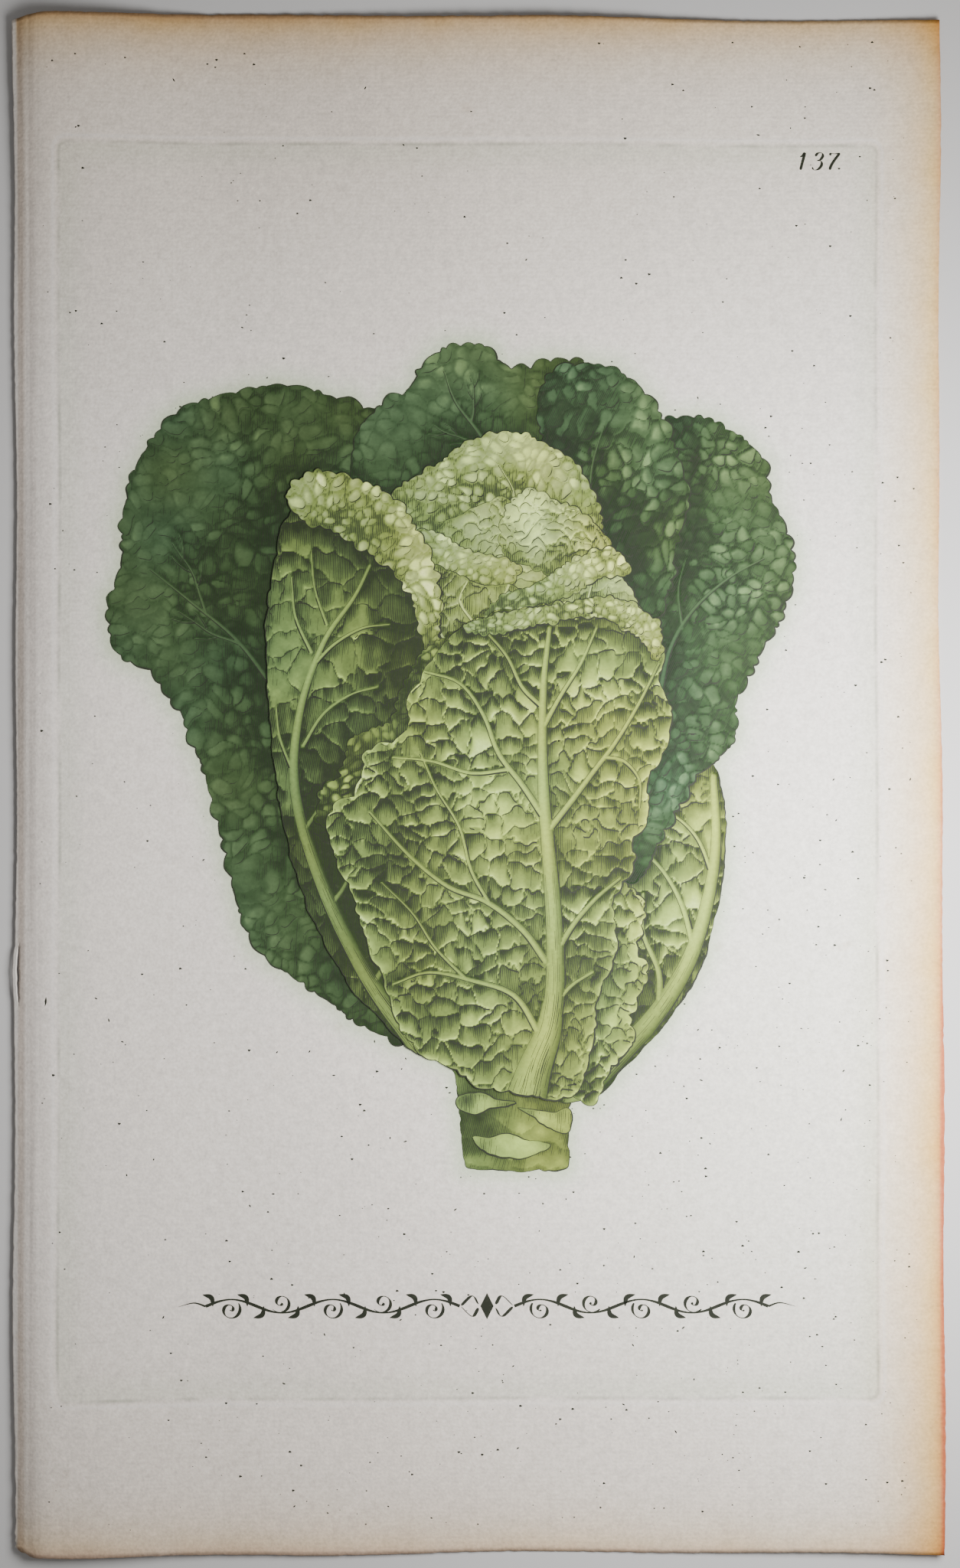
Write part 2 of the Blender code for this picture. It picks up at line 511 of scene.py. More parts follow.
def mesh_object(name, places, faces, material):
    """An object from vertex places in metres and an array of quads."""
    mesh = bpy.data.meshes.new(name)
    mesh.vertices.add(len(places))
    mesh.vertices.foreach_set("co", np.asarray(places, np.float32).ravel())
    mesh.loops.add(faces.size)
    mesh.loops.foreach_set("vertex_index", faces.astype(np.int32).ravel())
    mesh.polygons.add(len(faces))
    mesh.polygons.foreach_set("loop_start", np.arange(0, faces.size, faces.shape[1], dtype=np.int32))
    mesh.update(calc_edges=True)
    mesh.materials.append(material)
    lay_flat_map(mesh)
    piece = bpy.data.objects.new(name, mesh)
    bpy.context.scene.collection.objects.link(piece)
    return piece


def lay_flat_map(mesh):
    """A flat UV map, filled from edge to edge, as if the piece were printed."""
    places = np.empty(len(mesh.vertices) * 3, np.float32)
    mesh.vertices.foreach_get("co", places)
    flat = places.reshape(-1, 3)[:, :2]
    low, high = flat.min(0), flat.max(0)
    corners = np.empty(len(mesh.loops), np.int32)
    mesh.loops.foreach_get("vertex_index", corners)
    layer = mesh.uv_layers.new(name=FLAT_MAP)
    layer.uv.foreach_set("vector", ((flat - low) / (high - low))[corners].astype(np.float32).ravel())


def store(piece, name, values):
    """A number for each vertex, or a colour for each vertex, that its material can read."""
    if values.ndim == 1:
        attribute = piece.data.attributes.new(name, "FLOAT", "POINT")
        attribute.data.foreach_set("value", values.astype(np.float32))
    else:
        attribute = piece.data.attributes.new(name, "FLOAT_COLOR", "POINT")
        full = np.column_stack([values, np.ones(len(values))])
        attribute.data.foreach_set("color", full.astype(np.float32).ravel())


def settle(piece):
    """Puts a piece on the part's one body."""
    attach(piece, "root")
    return piece


class Strokes:
    """Ink strokes gathered for one piece: thin flat ribbons that swell and taper."""

    thinnest = 0.05
    hair = 0.02  # lift from one stroke to the next, in films, which keeps crossings apart
    hairs = 8  # before the lift starts again

    def __init__(self):
        self.spots = []
        self.lifts = []
        self.quads = []
        self.count = 0

    def _add(self, rungs, lift):
        """A ribbon from its rungs, each a left and a right end."""
        self.spots.append(rungs.reshape(-1, 2))
        own_lift = lift + self.hair * (len(self.lifts) % self.hairs)
        self.lifts.append(np.full(2 * len(rungs), own_lift))
        first = self.count + 2 * np.arange(len(rungs) - 1)[:, None]
        self.quads.append(first + np.array([0, 1, 3, 2]))
        self.count += 2 * len(rungs)

    def draw(self, path, width, lift=0.0):
        """Inks a path wherever it is wide enough, lift films above the others."""
        width = np.broadcast_to(width, len(path))
        inked = width >= self.thinnest
        edges = np.flatnonzero(np.diff(np.r_[False, inked, False].astype(int)))
        reach = leftward(path) * width[:, None] / 2
        for start, stop in zip(edges[::2], edges[1::2]):
            if stop - start > 1:
                part = slice(start, stop)
                self._add(np.stack([path[part] + reach[part], path[part] - reach[part]], 1), lift)

    def dot(self, spot, size, turn, sides=8):
        """A small uneven fleck, as a strip across it."""
        angle = turn + (np.arange(sides) + 0.5) * 2 * np.pi / sides
        reach = size / 2 * (1 + 0.25 * np.sin(3 * angle + turn))
        rim = spot + np.column_stack([np.cos(angle), 0.7 * np.sin(angle)]) * reach[:, None]
        half = sides // 2
        self._add(np.stack([rim[:half], rim[: half - 1 : -1]], 1), 0.0)

    def piece(self, name, level, paper, material):
        if not self.spots:
            raise RuntimeError(f"{name} has no strokes")
        places = on_paper(np.vstack(self.spots), level + np.concatenate(self.lifts), paper)
        faces = np.vstack(self.quads)
        return settle(mesh_object(name, places, face_up(places, faces), material))


def face_up(places, faces):
    """The same quads, each turned so that it faces up."""
    corners = places[faces]
    first, second = corners[:, 2] - corners[:, 0], corners[:, 3] - corners[:, 1]
    down = first[:, 0] * second[:, 1] - first[:, 1] * second[:, 0] < 0
    return np.where(down[:, None], faces[:, ::-1], faces)


# ---- Materials ----


class Term:
    """A socket that can stand in a sum: each sign adds its Math node."""

    def __init__(self, tree, socket):
        self.tree = tree
        self.socket = socket

    def math(self, operation, other=0.0, flipped=False, clamp=False):
        node = self.tree.nodes.new("ShaderNodeMath")
        node.operation = operation
        node.use_clamp = clamp
        first, second = (other, self) if flipped else (self, other)
        connect(self.tree, node.inputs[0], first)
        connect(self.tree, node.inputs[1], second)
        return Term(self.tree, node.outputs[0])

    def __add__(self, other):
        return self.math("ADD", other)

    def __radd__(self, other):
        return self.math("ADD", other, flipped=True)

    def __sub__(self, other):
        return self.math("SUBTRACT", other)

    def __rsub__(self, other):
        return self.math("SUBTRACT", other, flipped=True)

    def __mul__(self, other):
        return self.math("MULTIPLY", other)

    def __rmul__(self, other):
        return self.math("MULTIPLY", other, flipped=True)

    def __truediv__(self, other):
        return self.math("DIVIDE", other)

    def __pow__(self, other):
        return self.math("POWER", other)

    def __abs__(self):
        return self.math("ABSOLUTE")

    def sine(self):
        return self.math("SINE")

    def over(self, start, end):
        """0 at start, 1 at end, and eased between them."""
        node = self.tree.nodes.new("ShaderNodeMapRange")
        node.interpolation_type = "SMOOTHSTEP"
        connect(self.tree, node.inputs["Value"], self)
        node.inputs["From Min"].default_value = start
        node.inputs["From Max"].default_value = end
        return Term(self.tree, node.outputs["Result"])


def connect(tree, target, value):
    if isinstance(value, Term):
        tree.links.new(value.socket, target)
    elif hasattr(target.default_value, "__len__") and len(target.default_value) == 4 and len(value) == 3:
        target.default_value = (*value, 1)
    else:
        target.default_value = value


class Finish:
    """One material, built node by node onto its Principled shader."""

    def __init__(self, name, roughness, specular=0.5):
        self.material = bpy.data.materials.new(name)
        self.material.use_nodes = True
        self.tree = self.material.node_tree
        self.shader = self.tree.nodes["Principled BSDF"]
        self.shader.inputs["Roughness"].default_value = roughness
        self.shader.inputs["Specular IOR Level"].default_value = specular

    def node(self, kind, settings=None, inputs=None, output=0):
        """Any node: its type, its settings, and the values or links of its sockets."""
        node = self.tree.nodes.new(kind)
        for name, value in (settings or {}).items():
            setattr(node, name, value)
        for name, value in (inputs or {}).items():
            connect(self.tree, node.inputs[name], value)
        return Term(self.tree, node.outputs[output])

    def place(self):
        """The object's own coordinates, in metres."""
        return self.node("ShaderNodeTexCoord", output="Object")

    def axes(self, place):
        parts = self.tree.nodes.new("ShaderNodeSeparateXYZ")
        connect(self.tree, parts.inputs[0], place)
        return [Term(self.tree, socket) for socket in parts.outputs]

    def noise(self, place, size, detail=3.0, stretch=(1, 1, 1)):
        """Noise from 0 to 1 with blotches of this size in metres."""
        scale = tuple(part / size for part in stretch)
        scaled = self.node("ShaderNodeVectorMath", {"operation": "MULTIPLY"}, {0: place, 1: scale})
        return self.node("ShaderNodeTexNoise", None, {"Vector": scaled, "Scale": 1.0, "Detail": detail})

    def mix(self, share, start, end, blend="MIX"):
        settings = {"data_type": "RGBA", "blend_type": blend}
        return self.node("ShaderNodeMix", settings, {0: share, 6: start, 7: end}, output=2)

    def grey(self, value):
        """A number as a colour, to multiply another colour by."""
        return self.node("ShaderNodeCombineColor", None, {0: value, 1: value, 2: value})

    def attribute(self, name, output):
        return self.node("ShaderNodeAttribute", {"attribute_name": name}, output=output)

    def feed(self, name, value):
        connect(self.tree, self.shader.inputs[name], value)

    def bump(self, height, strength, distance):
        sockets = {"Height": height, "Strength": strength, "Distance": distance}
        self.feed("Normal", self.node("ShaderNodeBump", None, sockets))


def paper_tooth(finish, place, paper):
    """The felt's fibres, with the laid and chain lines of the mould."""
    x, y, _ = finish.axes(place)
    drift = finish.noise(place, 0.02, 1.0) * 0.0006
    laid = ((y + drift) * (2 * math.pi / paper.laid_pitch)).sine()
    chain = abs(((x + drift) * (math.pi / paper.chain_pitch)).sine()).over(0.05, 0.0)
    fibres = finish.noise(place, 0.0007, 4.0)
    clouds = finish.noise(place, 0.006, 2.0)
    return fibres + clouds * 0.6 + laid * 0.07 + chain * 0.15


def near(distance, reach, power=2.5):
    """1 at an edge and fading to 0 this far from it."""
    return (1 - distance / reach).math("MULTIPLY", 1.0, clamp=True) ** power


MULTIPLIED, PAINT = "MULTIPLY", "MIX"


def clean_sheet(finish, place, paper):
    """Grey-white rag paper, cloudy and fibrous, with painted light that makes it paler to the right."""
    x, y, _ = finish.axes(place)
    clouds = finish.noise(place, 0.05).over(0.3, 0.75)
    colour = finish.mix(clouds, paper.sheet_colour, paper.cloud_colour)
    # painted light: the sheet is painted paler towards the right, most across its middle height
    light = x.over(-0.03, 0.10) * (0.55 + 0.30 * near(abs(y + 0.02), 0.12, 1.0))
    colour = finish.mix(light, colour, (0.97, 0.92, 0.85))
    fibres = 0.58 + 0.54 * finish.noise(place, 0.0008) + 0.30 * finish.noise(place, 0.0024, 2.0)
    return finish.mix(1.0, colour, finish.grey(fibres), MULTIPLIED)


def browned_margins(finish, place, paper):
    """Broad browning at the head and tail, narrower bands at the edges, and the burnt edges."""
    x, y, _ = finish.axes(place)
    half_width, half_height = LEAF_WIDTH / 2 * MM, LEAF_HEIGHT / 2 * MM
    head, tail, fore = half_height - y, half_height + y, half_width - x
    ragged = finish.noise(place, 0.018) * 0.005 - 0.0025
    return [
        (MULTIPLIED, near(head, 0.11, 1.5) * 0.24, paper.tone_colour),
        (MULTIPLIED, near(tail, 0.08, 1.5) * 0.16, paper.tone_colour),
        (MULTIPLIED, near(fore + ragged, 0.034, 2.0) * y.over(0.05, -0.12) * 0.40, paper.fore_colour),
        (MULTIPLIED, near(head + ragged, 0.026), paper.tone_colour),
        (MULTIPLIED, near(tail + ragged, 0.022) * 0.65, paper.tone_colour),
        (MULTIPLIED, near(fore + ragged, 0.024, 2.0), paper.fore_colour),
        (MULTIPLIED, near(head + ragged * 0.2, 0.0042) * 0.45, paper.burnt_colour),
        (MULTIPLIED, near(tail + ragged * 0.2, 0.0040) * 0.30, paper.burnt_colour),
        (MULTIPLIED, near(fore + ragged * 0.1, 0.0038) * 0.80, (0.66, 0.40, 0.95)),
        (MULTIPLIED, near(fore, 0.0008, 0.8) * (0.30 + 0.25 * y.over(0.16, -0.18)), paper.stain_colour),
    ]


def gutter_streaks_shade_and_highlight(finish, place):
    """Fine streaks beside the gutter, two dark lines of painted shade that stand for folds in it, and a
    painted highlight along its cut edge.
    """
    gutter = LEAF_WIDTH / 2 * MM + finish.axes(place)[0]
    streaks = finish.noise(place, 0.0010, 2.0, (1, 0.014, 1))
    return [
        (MULTIPLIED, gutter.over(0.010, 0.002), finish.grey(0.70 + 0.60 * streaks)),
        # painted shade: two dark lines near the gutter's edge that stand for folds in it
        (MULTIPLIED, gutter.over(0.0004, 0.0009) * gutter.over(0.0032, 0.0016), (0.74, 0.70, 0.67)),
        (MULTIPLIED, gutter.over(0.0034, 0.0042) * gutter.over(0.0060, 0.0047) * 0.5, (0.72, 0.70, 0.70)),
        # painted highlight: a pale line along the cut edge, where its thickness would catch the light
        (PAINT, near(gutter, 0.0007, 1.0) * 0.7, (0.96, 0.91, 0.85)),
    ]


def plate_tone(finish, place, paper):
    """Foxing, the plate's green cast, the grime of its mark with a painted highlight on the ridge beside
    it, and the bled green.
    """
    x, y, _ = finish.axes(place)
    patches = finish.noise(place, 0.09, 1.0).over(0.45, 0.65)
    foxing = finish.noise(place, 0.011, 2.0).over(0.69, 0.78) * patches
    plate, bleed = finish.attribute("plate", "Fac"), finish.attribute("bleed", "Fac")
    inside = plate.over(0.0002, -0.0010)
    lower_right = x.over(0.0, 0.07) * y.over(0.03, -0.05)
    grime = abs(plate + 0.00005).over(0.0008, 0.0) * finish.noise(place, 0.012).over(0.25, 0.7)
    return [
        (PAINT, foxing * 0.35, (0.46, 0.33, 0.20)),
        (MULTIPLIED, inside * (0.10 + 0.55 * lower_right), (0.93, 0.97, 0.93)),
        (MULTIPLIED, inside * plate.over(-0.009, -0.001) * 0.6, (0.86, 0.92, 0.86)),
        (MULTIPLIED, grime, (0.62, 0.66, 0.62)),
        # painted highlight: a pale line along the ridge just outside the plate mark
        (PAINT, abs(plate - 0.0014).over(0.0008, 0.0) * 0.30, (0.90, 0.86, 0.82)),
        (MULTIPLIED, bleed * finish.noise(place, 0.012).over(0.1, 0.6), (0.90, 1.0, 0.90)),
        (PAINT, bleed**4 * 0.6, paper.bleed_colour),
    ]


def rag_paper(paper):
    """Grey-white laid paper: browned margins, a reddened fore edge, foxing and handling dirt, with painted
    light on the sheet and painted shade and highlights at the gutter and the plate mark.
    """
    finish = Finish("rag_paper", 0.86, 0.25)
    place = finish.place()
    tooth = paper_tooth(finish, place, paper)
    colour = clean_sheet(finish, place, paper)
    ageing_and_painted_light = browned_margins(finish, place, paper) + gutter_streaks_shade_and_highlight(finish, place)
    for blend, share, tint in ageing_and_painted_light + plate_tone(finish, place, paper):
        colour = finish.mix(share, colour, tint, blend)
    finish.feed("Base Color", colour)
    finish.feed("Roughness", 0.80 + 0.12 * tooth)
    finish.bump(tooth, 0.45, 0.00016)
    return finish.material


def watercolour(paper):
    """Thin washes that settle in the paper's grain."""
    finish = Finish("watercolour", 0.84, 0.22)
    place = finish.place()
    tooth = paper_tooth(finish, place, paper)
    grain = finish.noise(place, 0.0009, 4.0)
    pools = finish.noise(place, 0.012)
    tint = finish.attribute("tint", "Color")
    settled = finish.grey(0.62 + 0.50 * grain + 0.28 * pools)
    finish.feed("Base Color", finish.mix(1.0, tint, settled, MULTIPLIED))
    finish.feed("Roughness", 0.78 + 0.12 * pools)
    finish.bump(tooth, 0.3, 0.0001)
    return finish.material


def printing_ink(picture):
    """Olive-black copperplate ink that stands a hair proud and prints unevenly."""
    finish = Finish("printing_ink", 0.6, 0.35)
    place = finish.place()
    starved = finish.noise(place, 0.0012, 4.0).over(0.5, 0.8) * 0.35
    thicker = finish.noise(place, 0.02, 2.0).over(0.35, 0.7) * 0.25
    colour = finish.mix(starved, picture.ink_colour, (0.060, 0.068, 0.034))
    colour = finish.mix(thicker, colour, (0.006, 0.007, 0.005))
    finish.feed("Base Color", colour)
    finish.feed("Roughness", 0.50 + 0.25 * finish.noise(place, 0.0006, 2.0))
    return finish.material


def plaster(stage):
    """The studio floor: pale and matte, with a faint mottle."""
    finish = Finish("floor_plaster", 0.9, 0.2)
    place = finish.place()
    mottled = finish.noise(place, 0.08, 4.0)
    fine = finish.noise(place, 0.003)
    shade = finish.grey(0.95 + 0.08 * mottled + 0.02 * fine)
    finish.feed("Base Color", finish.mix(1.0, stage.floor_colour, shade, MULTIPLIED))
    finish.feed("Roughness", 0.86 + 0.08 * mottled)
    finish.bump(fine, 0.1, 0.0002)
    return finish.material


# ---- The pictured plant ----


@dataclass
class Rib:
    """A rib or vein, from its foot to its tip."""

    points: list
    foot: float
    tip: float


@dataclass
class Look:
    """How a kind of leaf is crumpled, coloured and inked."""

    colours: tuple  # of the wash, from the darkest tone to the lightest
    ground: float  # its middle tone
    domes: float  # how strongly its cells stand up as round blisters
    ledges: float  # how strongly its cells step down as ledges with a pale lip
    curl: float  # how far its cells' borders curl, in millimetres
    creases: float  # weight of the ink round the cells
    hatch: float  # tone below which it is hatched
    fine: float = 1.0  # pitch of its hatching


DARK_GREENS = ("deep_green", "leaf_green", "grey_green", "bloom_green")
GREENS = ("deep_olive", "olive", "yellow_green", "pale_green", "cream")
PALE_GREENS = ("olive", "yellow_green", "soft_green", "cream", "bleached")
BLISTERED = Look(DARK_GREENS, 0.40, 0.40, 0.22, 0.8, 0.40, 0.34, 0.85)
DOMED = Look(DARK_GREENS, 0.415, 0.52, 0.36, 0.8, 0.75, 0.44, 0.85)
RUFFLED = Look(GREENS, 0.45, 0.46, 0.16, 0.5, 0.8, 0.42, 0.9)
NETTED = Look(GREENS, 0.43, 0.0, 0.90, 1.45, 0.8, 0.48, 0.9)
SHADED = Look(GREENS, 0.39, 0.0, 0.58, 1.4, 0.7, 0.42, 0.9)
BEADED = Look(PALE_GREENS, 0.46, 0.66, 0.42, 0.5, 0.6, 0.30, 0.9)
FROSTED = Look(PALE_GREENS, 0.53, 0.56, 0.38, 0.5, 0.7, 0.34, 0.9)
BLEACHED = Look(PALE_GREENS, 0.54, 0.0, 0.60, 1.5, 0.6, 0.38)
RIND = Look(GREENS, 0.70, 0.0, 0.12, 0.6, 0.0, 0.46, 0.9)
SCAR = Look(GREENS, 0.86, 0.0, 0.0, 0.6, 0.0, 0.62, 0.9)


@dataclass
class PicturedLeaf:
    """One leaf of the picture: chosen points for its outline, and what it is made of."""

    name: str
    look: Look
    outline: list
    lobes: tuple  # length and depth of its margin's lobes
    cell: tuple  # width and height of its cells
    lean: float = 0.0  # of its cells, in degrees
    ribs: list = field(default_factory=list)
    glows: list = field(default_factory=list)  # soft lights and shades: x, y, reach, amount
    margin: float = -0.14  # lighter or darker along its margin
    cool: float = 0.0  # from -1, yellow, to 1, blue
    weight: float = 1.0  # of its ink
    strokes: float = 86.0  # angle of its hatching, in degrees
    seed: int = 1


def branch(rib, share, turn, length, curl, foot, tip=0.35):
    """A vein that leaves a rib at a share of its length, turned by degrees, and curls as it goes."""
    path = smooth_path(rib.points, 1.0)
    place = int(share * (len(path) - 1))
    x, y = path[min(place + 2, len(path) - 1)] - path[max(place - 2, 0)]
    start = math.atan2(y, x) + math.radians(turn)
    steps = np.linspace(0, 1, max(4, int(length / 3)))
    angles = start + math.radians(curl) * steps + 0.10 * np.sin(9 * steps + length)
    walk = np.cumsum(np.column_stack([np.cos(angles), np.sin(angles)]), axis=0) * length / len(steps)
    return Rib([tuple(path[place]), *map(tuple, path[place] + walk)], foot, tip)


def veined(rib, branches):
    """A rib with its branches, each with a few smaller ones of its own."""
    veins = [rib]
    for share, turn, length, curl, foot in branches:
        vein = branch(rib, share, turn, length, curl, foot)
        veins.append(vein)
        for place, way in ((0.35, 1), (0.55, -1), (0.75, 1)):
            side = way * math.copysign(1, turn)
            veins.append(branch(vein, place, side * 38, length * 0.34, -side * 25, foot * 0.38))
    return veins


# The cut stem, with the scars of fallen leaves
STEM = [
    PicturedLeaf(
        "stem", RIND,
        [
            (-5.5, -66), (-5.5, -78), (-4.6, -88), (-3.6, -96), (-2.6, -98), (4, -98.6), (12, -98.8),
            (20, -98.4), (22.6, -98), (23, -96), (22.6, -88), (23, -78), (23.5, -66),
        ],
        (4, 0.3), (16, 7), lean=-14, weight=0.75, strokes=76, seed=11,
        glows=[
            (-4, -86.5, 3, -0.3), (23.5, -93, 3, -0.2), (0, -77, 4, -0.34), (20, -81.5, 3, -0.16),
            (3, -86.5, 3.5, -0.26), (9, -98, 4, -0.1), (13, -88, 4, 0.12), (-3, -93, 2.5, -0.12),
        ],
    ),
    PicturedLeaf(
        "leaf_scar_left", SCAR,
        [
            (-5.2, -79.8), (-1, -78.9), (2, -79.2), (5.4, -80.7), (9.3, -81.4), (5.4, -82.6),
            (2, -83.2), (-1, -84.2), (-5, -83.2),
        ],
        (4, 0.12), (9, 4), seed=12,
        glows=[(-3.6, -81.4, 2, -0.34), (8, -81.6, 2.2, -0.22)],
    ),
    PicturedLeaf(
        "leaf_scar_right", SCAR,
        [
            (9.8, -82.6), (14.6, -83.3), (19, -83.8), (23.1, -83.4), (23.1, -89), (19.2, -88.7),
            (15.4, -86.5), (12.4, -84.2),
        ],
        (4, 0.12), (9, 4), seed=13,
        glows=[(12, -83.4, 2.4, -0.24), (22.6, -86, 2, -0.1)],
    ),
    PicturedLeaf(
        "leaf_scar_low", SCAR,
        [
            (-1.8, -89.9), (2.6, -90.4), (7.4, -89.4), (12.2, -91), (18, -92.2), (14.4, -94.6),
            (9, -95.7), (3, -94.7), (-0.4, -92.2),
        ],
        (4, 0.12), (9, 4), seed=14,
        glows=[(1.4, -92, 2.4, -0.3), (9, -95.6, 2.4, -0.16), (16, -92, 2.2, -0.16)],
    ),
]

# The dark outer leaves behind the head
OUTER_BACK = [
    PicturedLeaf(
        "outer_left_leaf", BLISTERED,
        [
            (-12, 82), (-24, 94), (-38, 99), (-52, 102), (-66, 99), (-77, 95), (-86, 84), (-90.5, 70),
            (-91, 55), (-94, 45), (-92, 34), (-83.5, 29), (-76, 18), (-70.6, 4), (-66.2, -10),
            (-63.4, -23), (-60.4, -34), (-55, -43.5), (-43.5, -51.5), (-32, -60), (-20, -65.5),
            (-12, -66), (-8, -50), (-10, 0), (-8, 50),
        ],
        (4.4, 1.1), (4.4, 3.5), lean=18, cool=-0.25, seed=21,
        ribs=veined(
            Rib([(-52, 24), (-62, 37), (-74, 47), (-84, 55)], 1.3, 0.4),
            [(0.35, 30, 18, -20, 0.8), (0.6, -40, 20, 25, 0.8)],
        ),
        glows=[
            (-84, 62, 14, 0.04), (-86, 38, 10, 0.05), (-60, -34, 14, 0.2), (-54, 60, 16, -0.14),
            (-34, 88, 12, 0.1), (-70, 88, 10, 0.06), (-58, 20, 9, -0.12),
        ],
    ),
    PicturedLeaf(
        "outer_top_leaf", BLISTERED,
        [
            (-32, 86), (-26, 96), (-18, 100.5), (-14, 107.5), (-8, 111.5), (1, 112.5), (6, 107),
            (12, 106), (20, 108.5), (30, 106), (34, 96), (30, 70), (10, 50), (-30, 56),
        ],
        (4.2, 1.3), (4.2, 3.4), lean=-10, cool=-0.35, seed=31,
        ribs=veined(
            Rib([(6, 80), (0, 90), (-6, 98), (-9, 106)], 1.3, 0.4),
            [(0.3, 50, 14, -20, 0.7), (0.5, -48, 12, 20, 0.7)],
        ),
        glows=[(-8, 106, 8, 0.26), (6, 84, 8, -0.04), (-22, 90, 8, 0.12), (18, 102, 12, 0.22)],
    ),
]

# The pale leaf that wraps the head's right side
RIGHT_WRAPPER = [
    PicturedLeaf(
        "right_pale_leaf", NETTED,
        [
            (34, 16), (46, 12), (57, 8), (62, 0), (63, -14), (61.4, -29), (57.4, -45), (49, -59),
            (40, -69), (30, -79), (18, -78), (20, -40), (28, -10),
        ],
        (9, 0.3), (6.6, 5.0), lean=10, seed=111,
        ribs=[
            Rib(
                [(25, -80), (36.4, -68.6), (45.4, -58.6), (53.4, -45.6), (58.2, -31), (60.6, -15), (60, 2)],
                6.2, 1.8,
            ),
            Rib([(46, -58), (46, -48), (42, -38), (42, -28)], 2.0, 0.8),
            Rib([(55, -42), (52, -31), (47, -22), (40, -15)], 1.7, 0.8),
            Rib([(60, -24), (56, -14), (50, -8), (43, -6)], 1.3, 0.6),
            Rib([(38, -68), (38, -60), (36, -52)], 1.7, 0.8),
        ],
        glows=[(55, -8, 9, 0.38), (48, -34, 10, 0.32), (52, 8, 7, 0.22), (36, -20, 6, -0.15)],
    ),
    PicturedLeaf(
        "right_ruffle", NETTED,
        [
            (28, -28), (36, -25), (42, -32), (40, -42), (43, -50), (38, -58), (39, -66), (33, -73),
            (29, -81), (24, -76), (26, -50),
        ],
        (3.6, 1.3), (5.0, 4.2), lean=-12, margin=0.25, seed=121,
        glows=[(38, -36, 8, 0.3), (36, -62, 9, 0.32), (30, -50, 6, -0.1)],
    ),
]

# The dark outer leaves that fold over the right side
OUTER_RIGHT = [
    PicturedLeaf(
        "outer_right_leaf", DOMED,
        [
            (42, 84), (46, 91), (53, 94), (61, 92), (68, 88), (73, 82), (74, 74), (78, 66), (80, 54),
            (77, 43), (71, 33), (66, 22), (65, 12), (61, 7), (55, 2), (50, -6), (46, -14), (40, -25),
            (34, -20), (30, 0), (30, 60),
        ],
        (3.2, 1.1), (3.7, 3.1), lean=-24, cool=0.15, strokes=62, seed=51,
        ribs=[
            Rib([(46, 22), (49, 35), (55, 45), (64, 53), (73, 58)], 1.4, 0.4),
            Rib([(52, 40), (51, 50), (53, 58)], 0.8, 0.3),
        ],
        glows=[
            (68, 78, 12, 0.08), (70, 48, 9, 0.12), (51, 62, 7, -0.2), (56, 18, 10, 0.16),
            (45, -8, 9, 0.36),
        ],
    ),
    PicturedLeaf(
        "top_fold", DOMED,
        [
            (17, 103), (26, 107.5), (35, 106), (43, 99), (48, 90), (52, 80), (53, 70), (50, 61),
            (49, 53), (46, 44), (41, 38), (36, 44), (34, 60), (30, 72), (21, 82), (16, 92),
        ],
        (4.2, 1.2), (4.4, 3.7), lean=40, strokes=66, seed=41,
        ribs=[Rib([(28, 70), (29, 82), (32, 92)], 0.9, 0.3)],
        glows=[
            (46, 84, 8, 0.14), (40, 98, 8, 0.08), (47, 60, 6, 0.14), (24, 92, 9, -0.06),
            (36, 64, 7, -0.22),
        ],
    ),
]

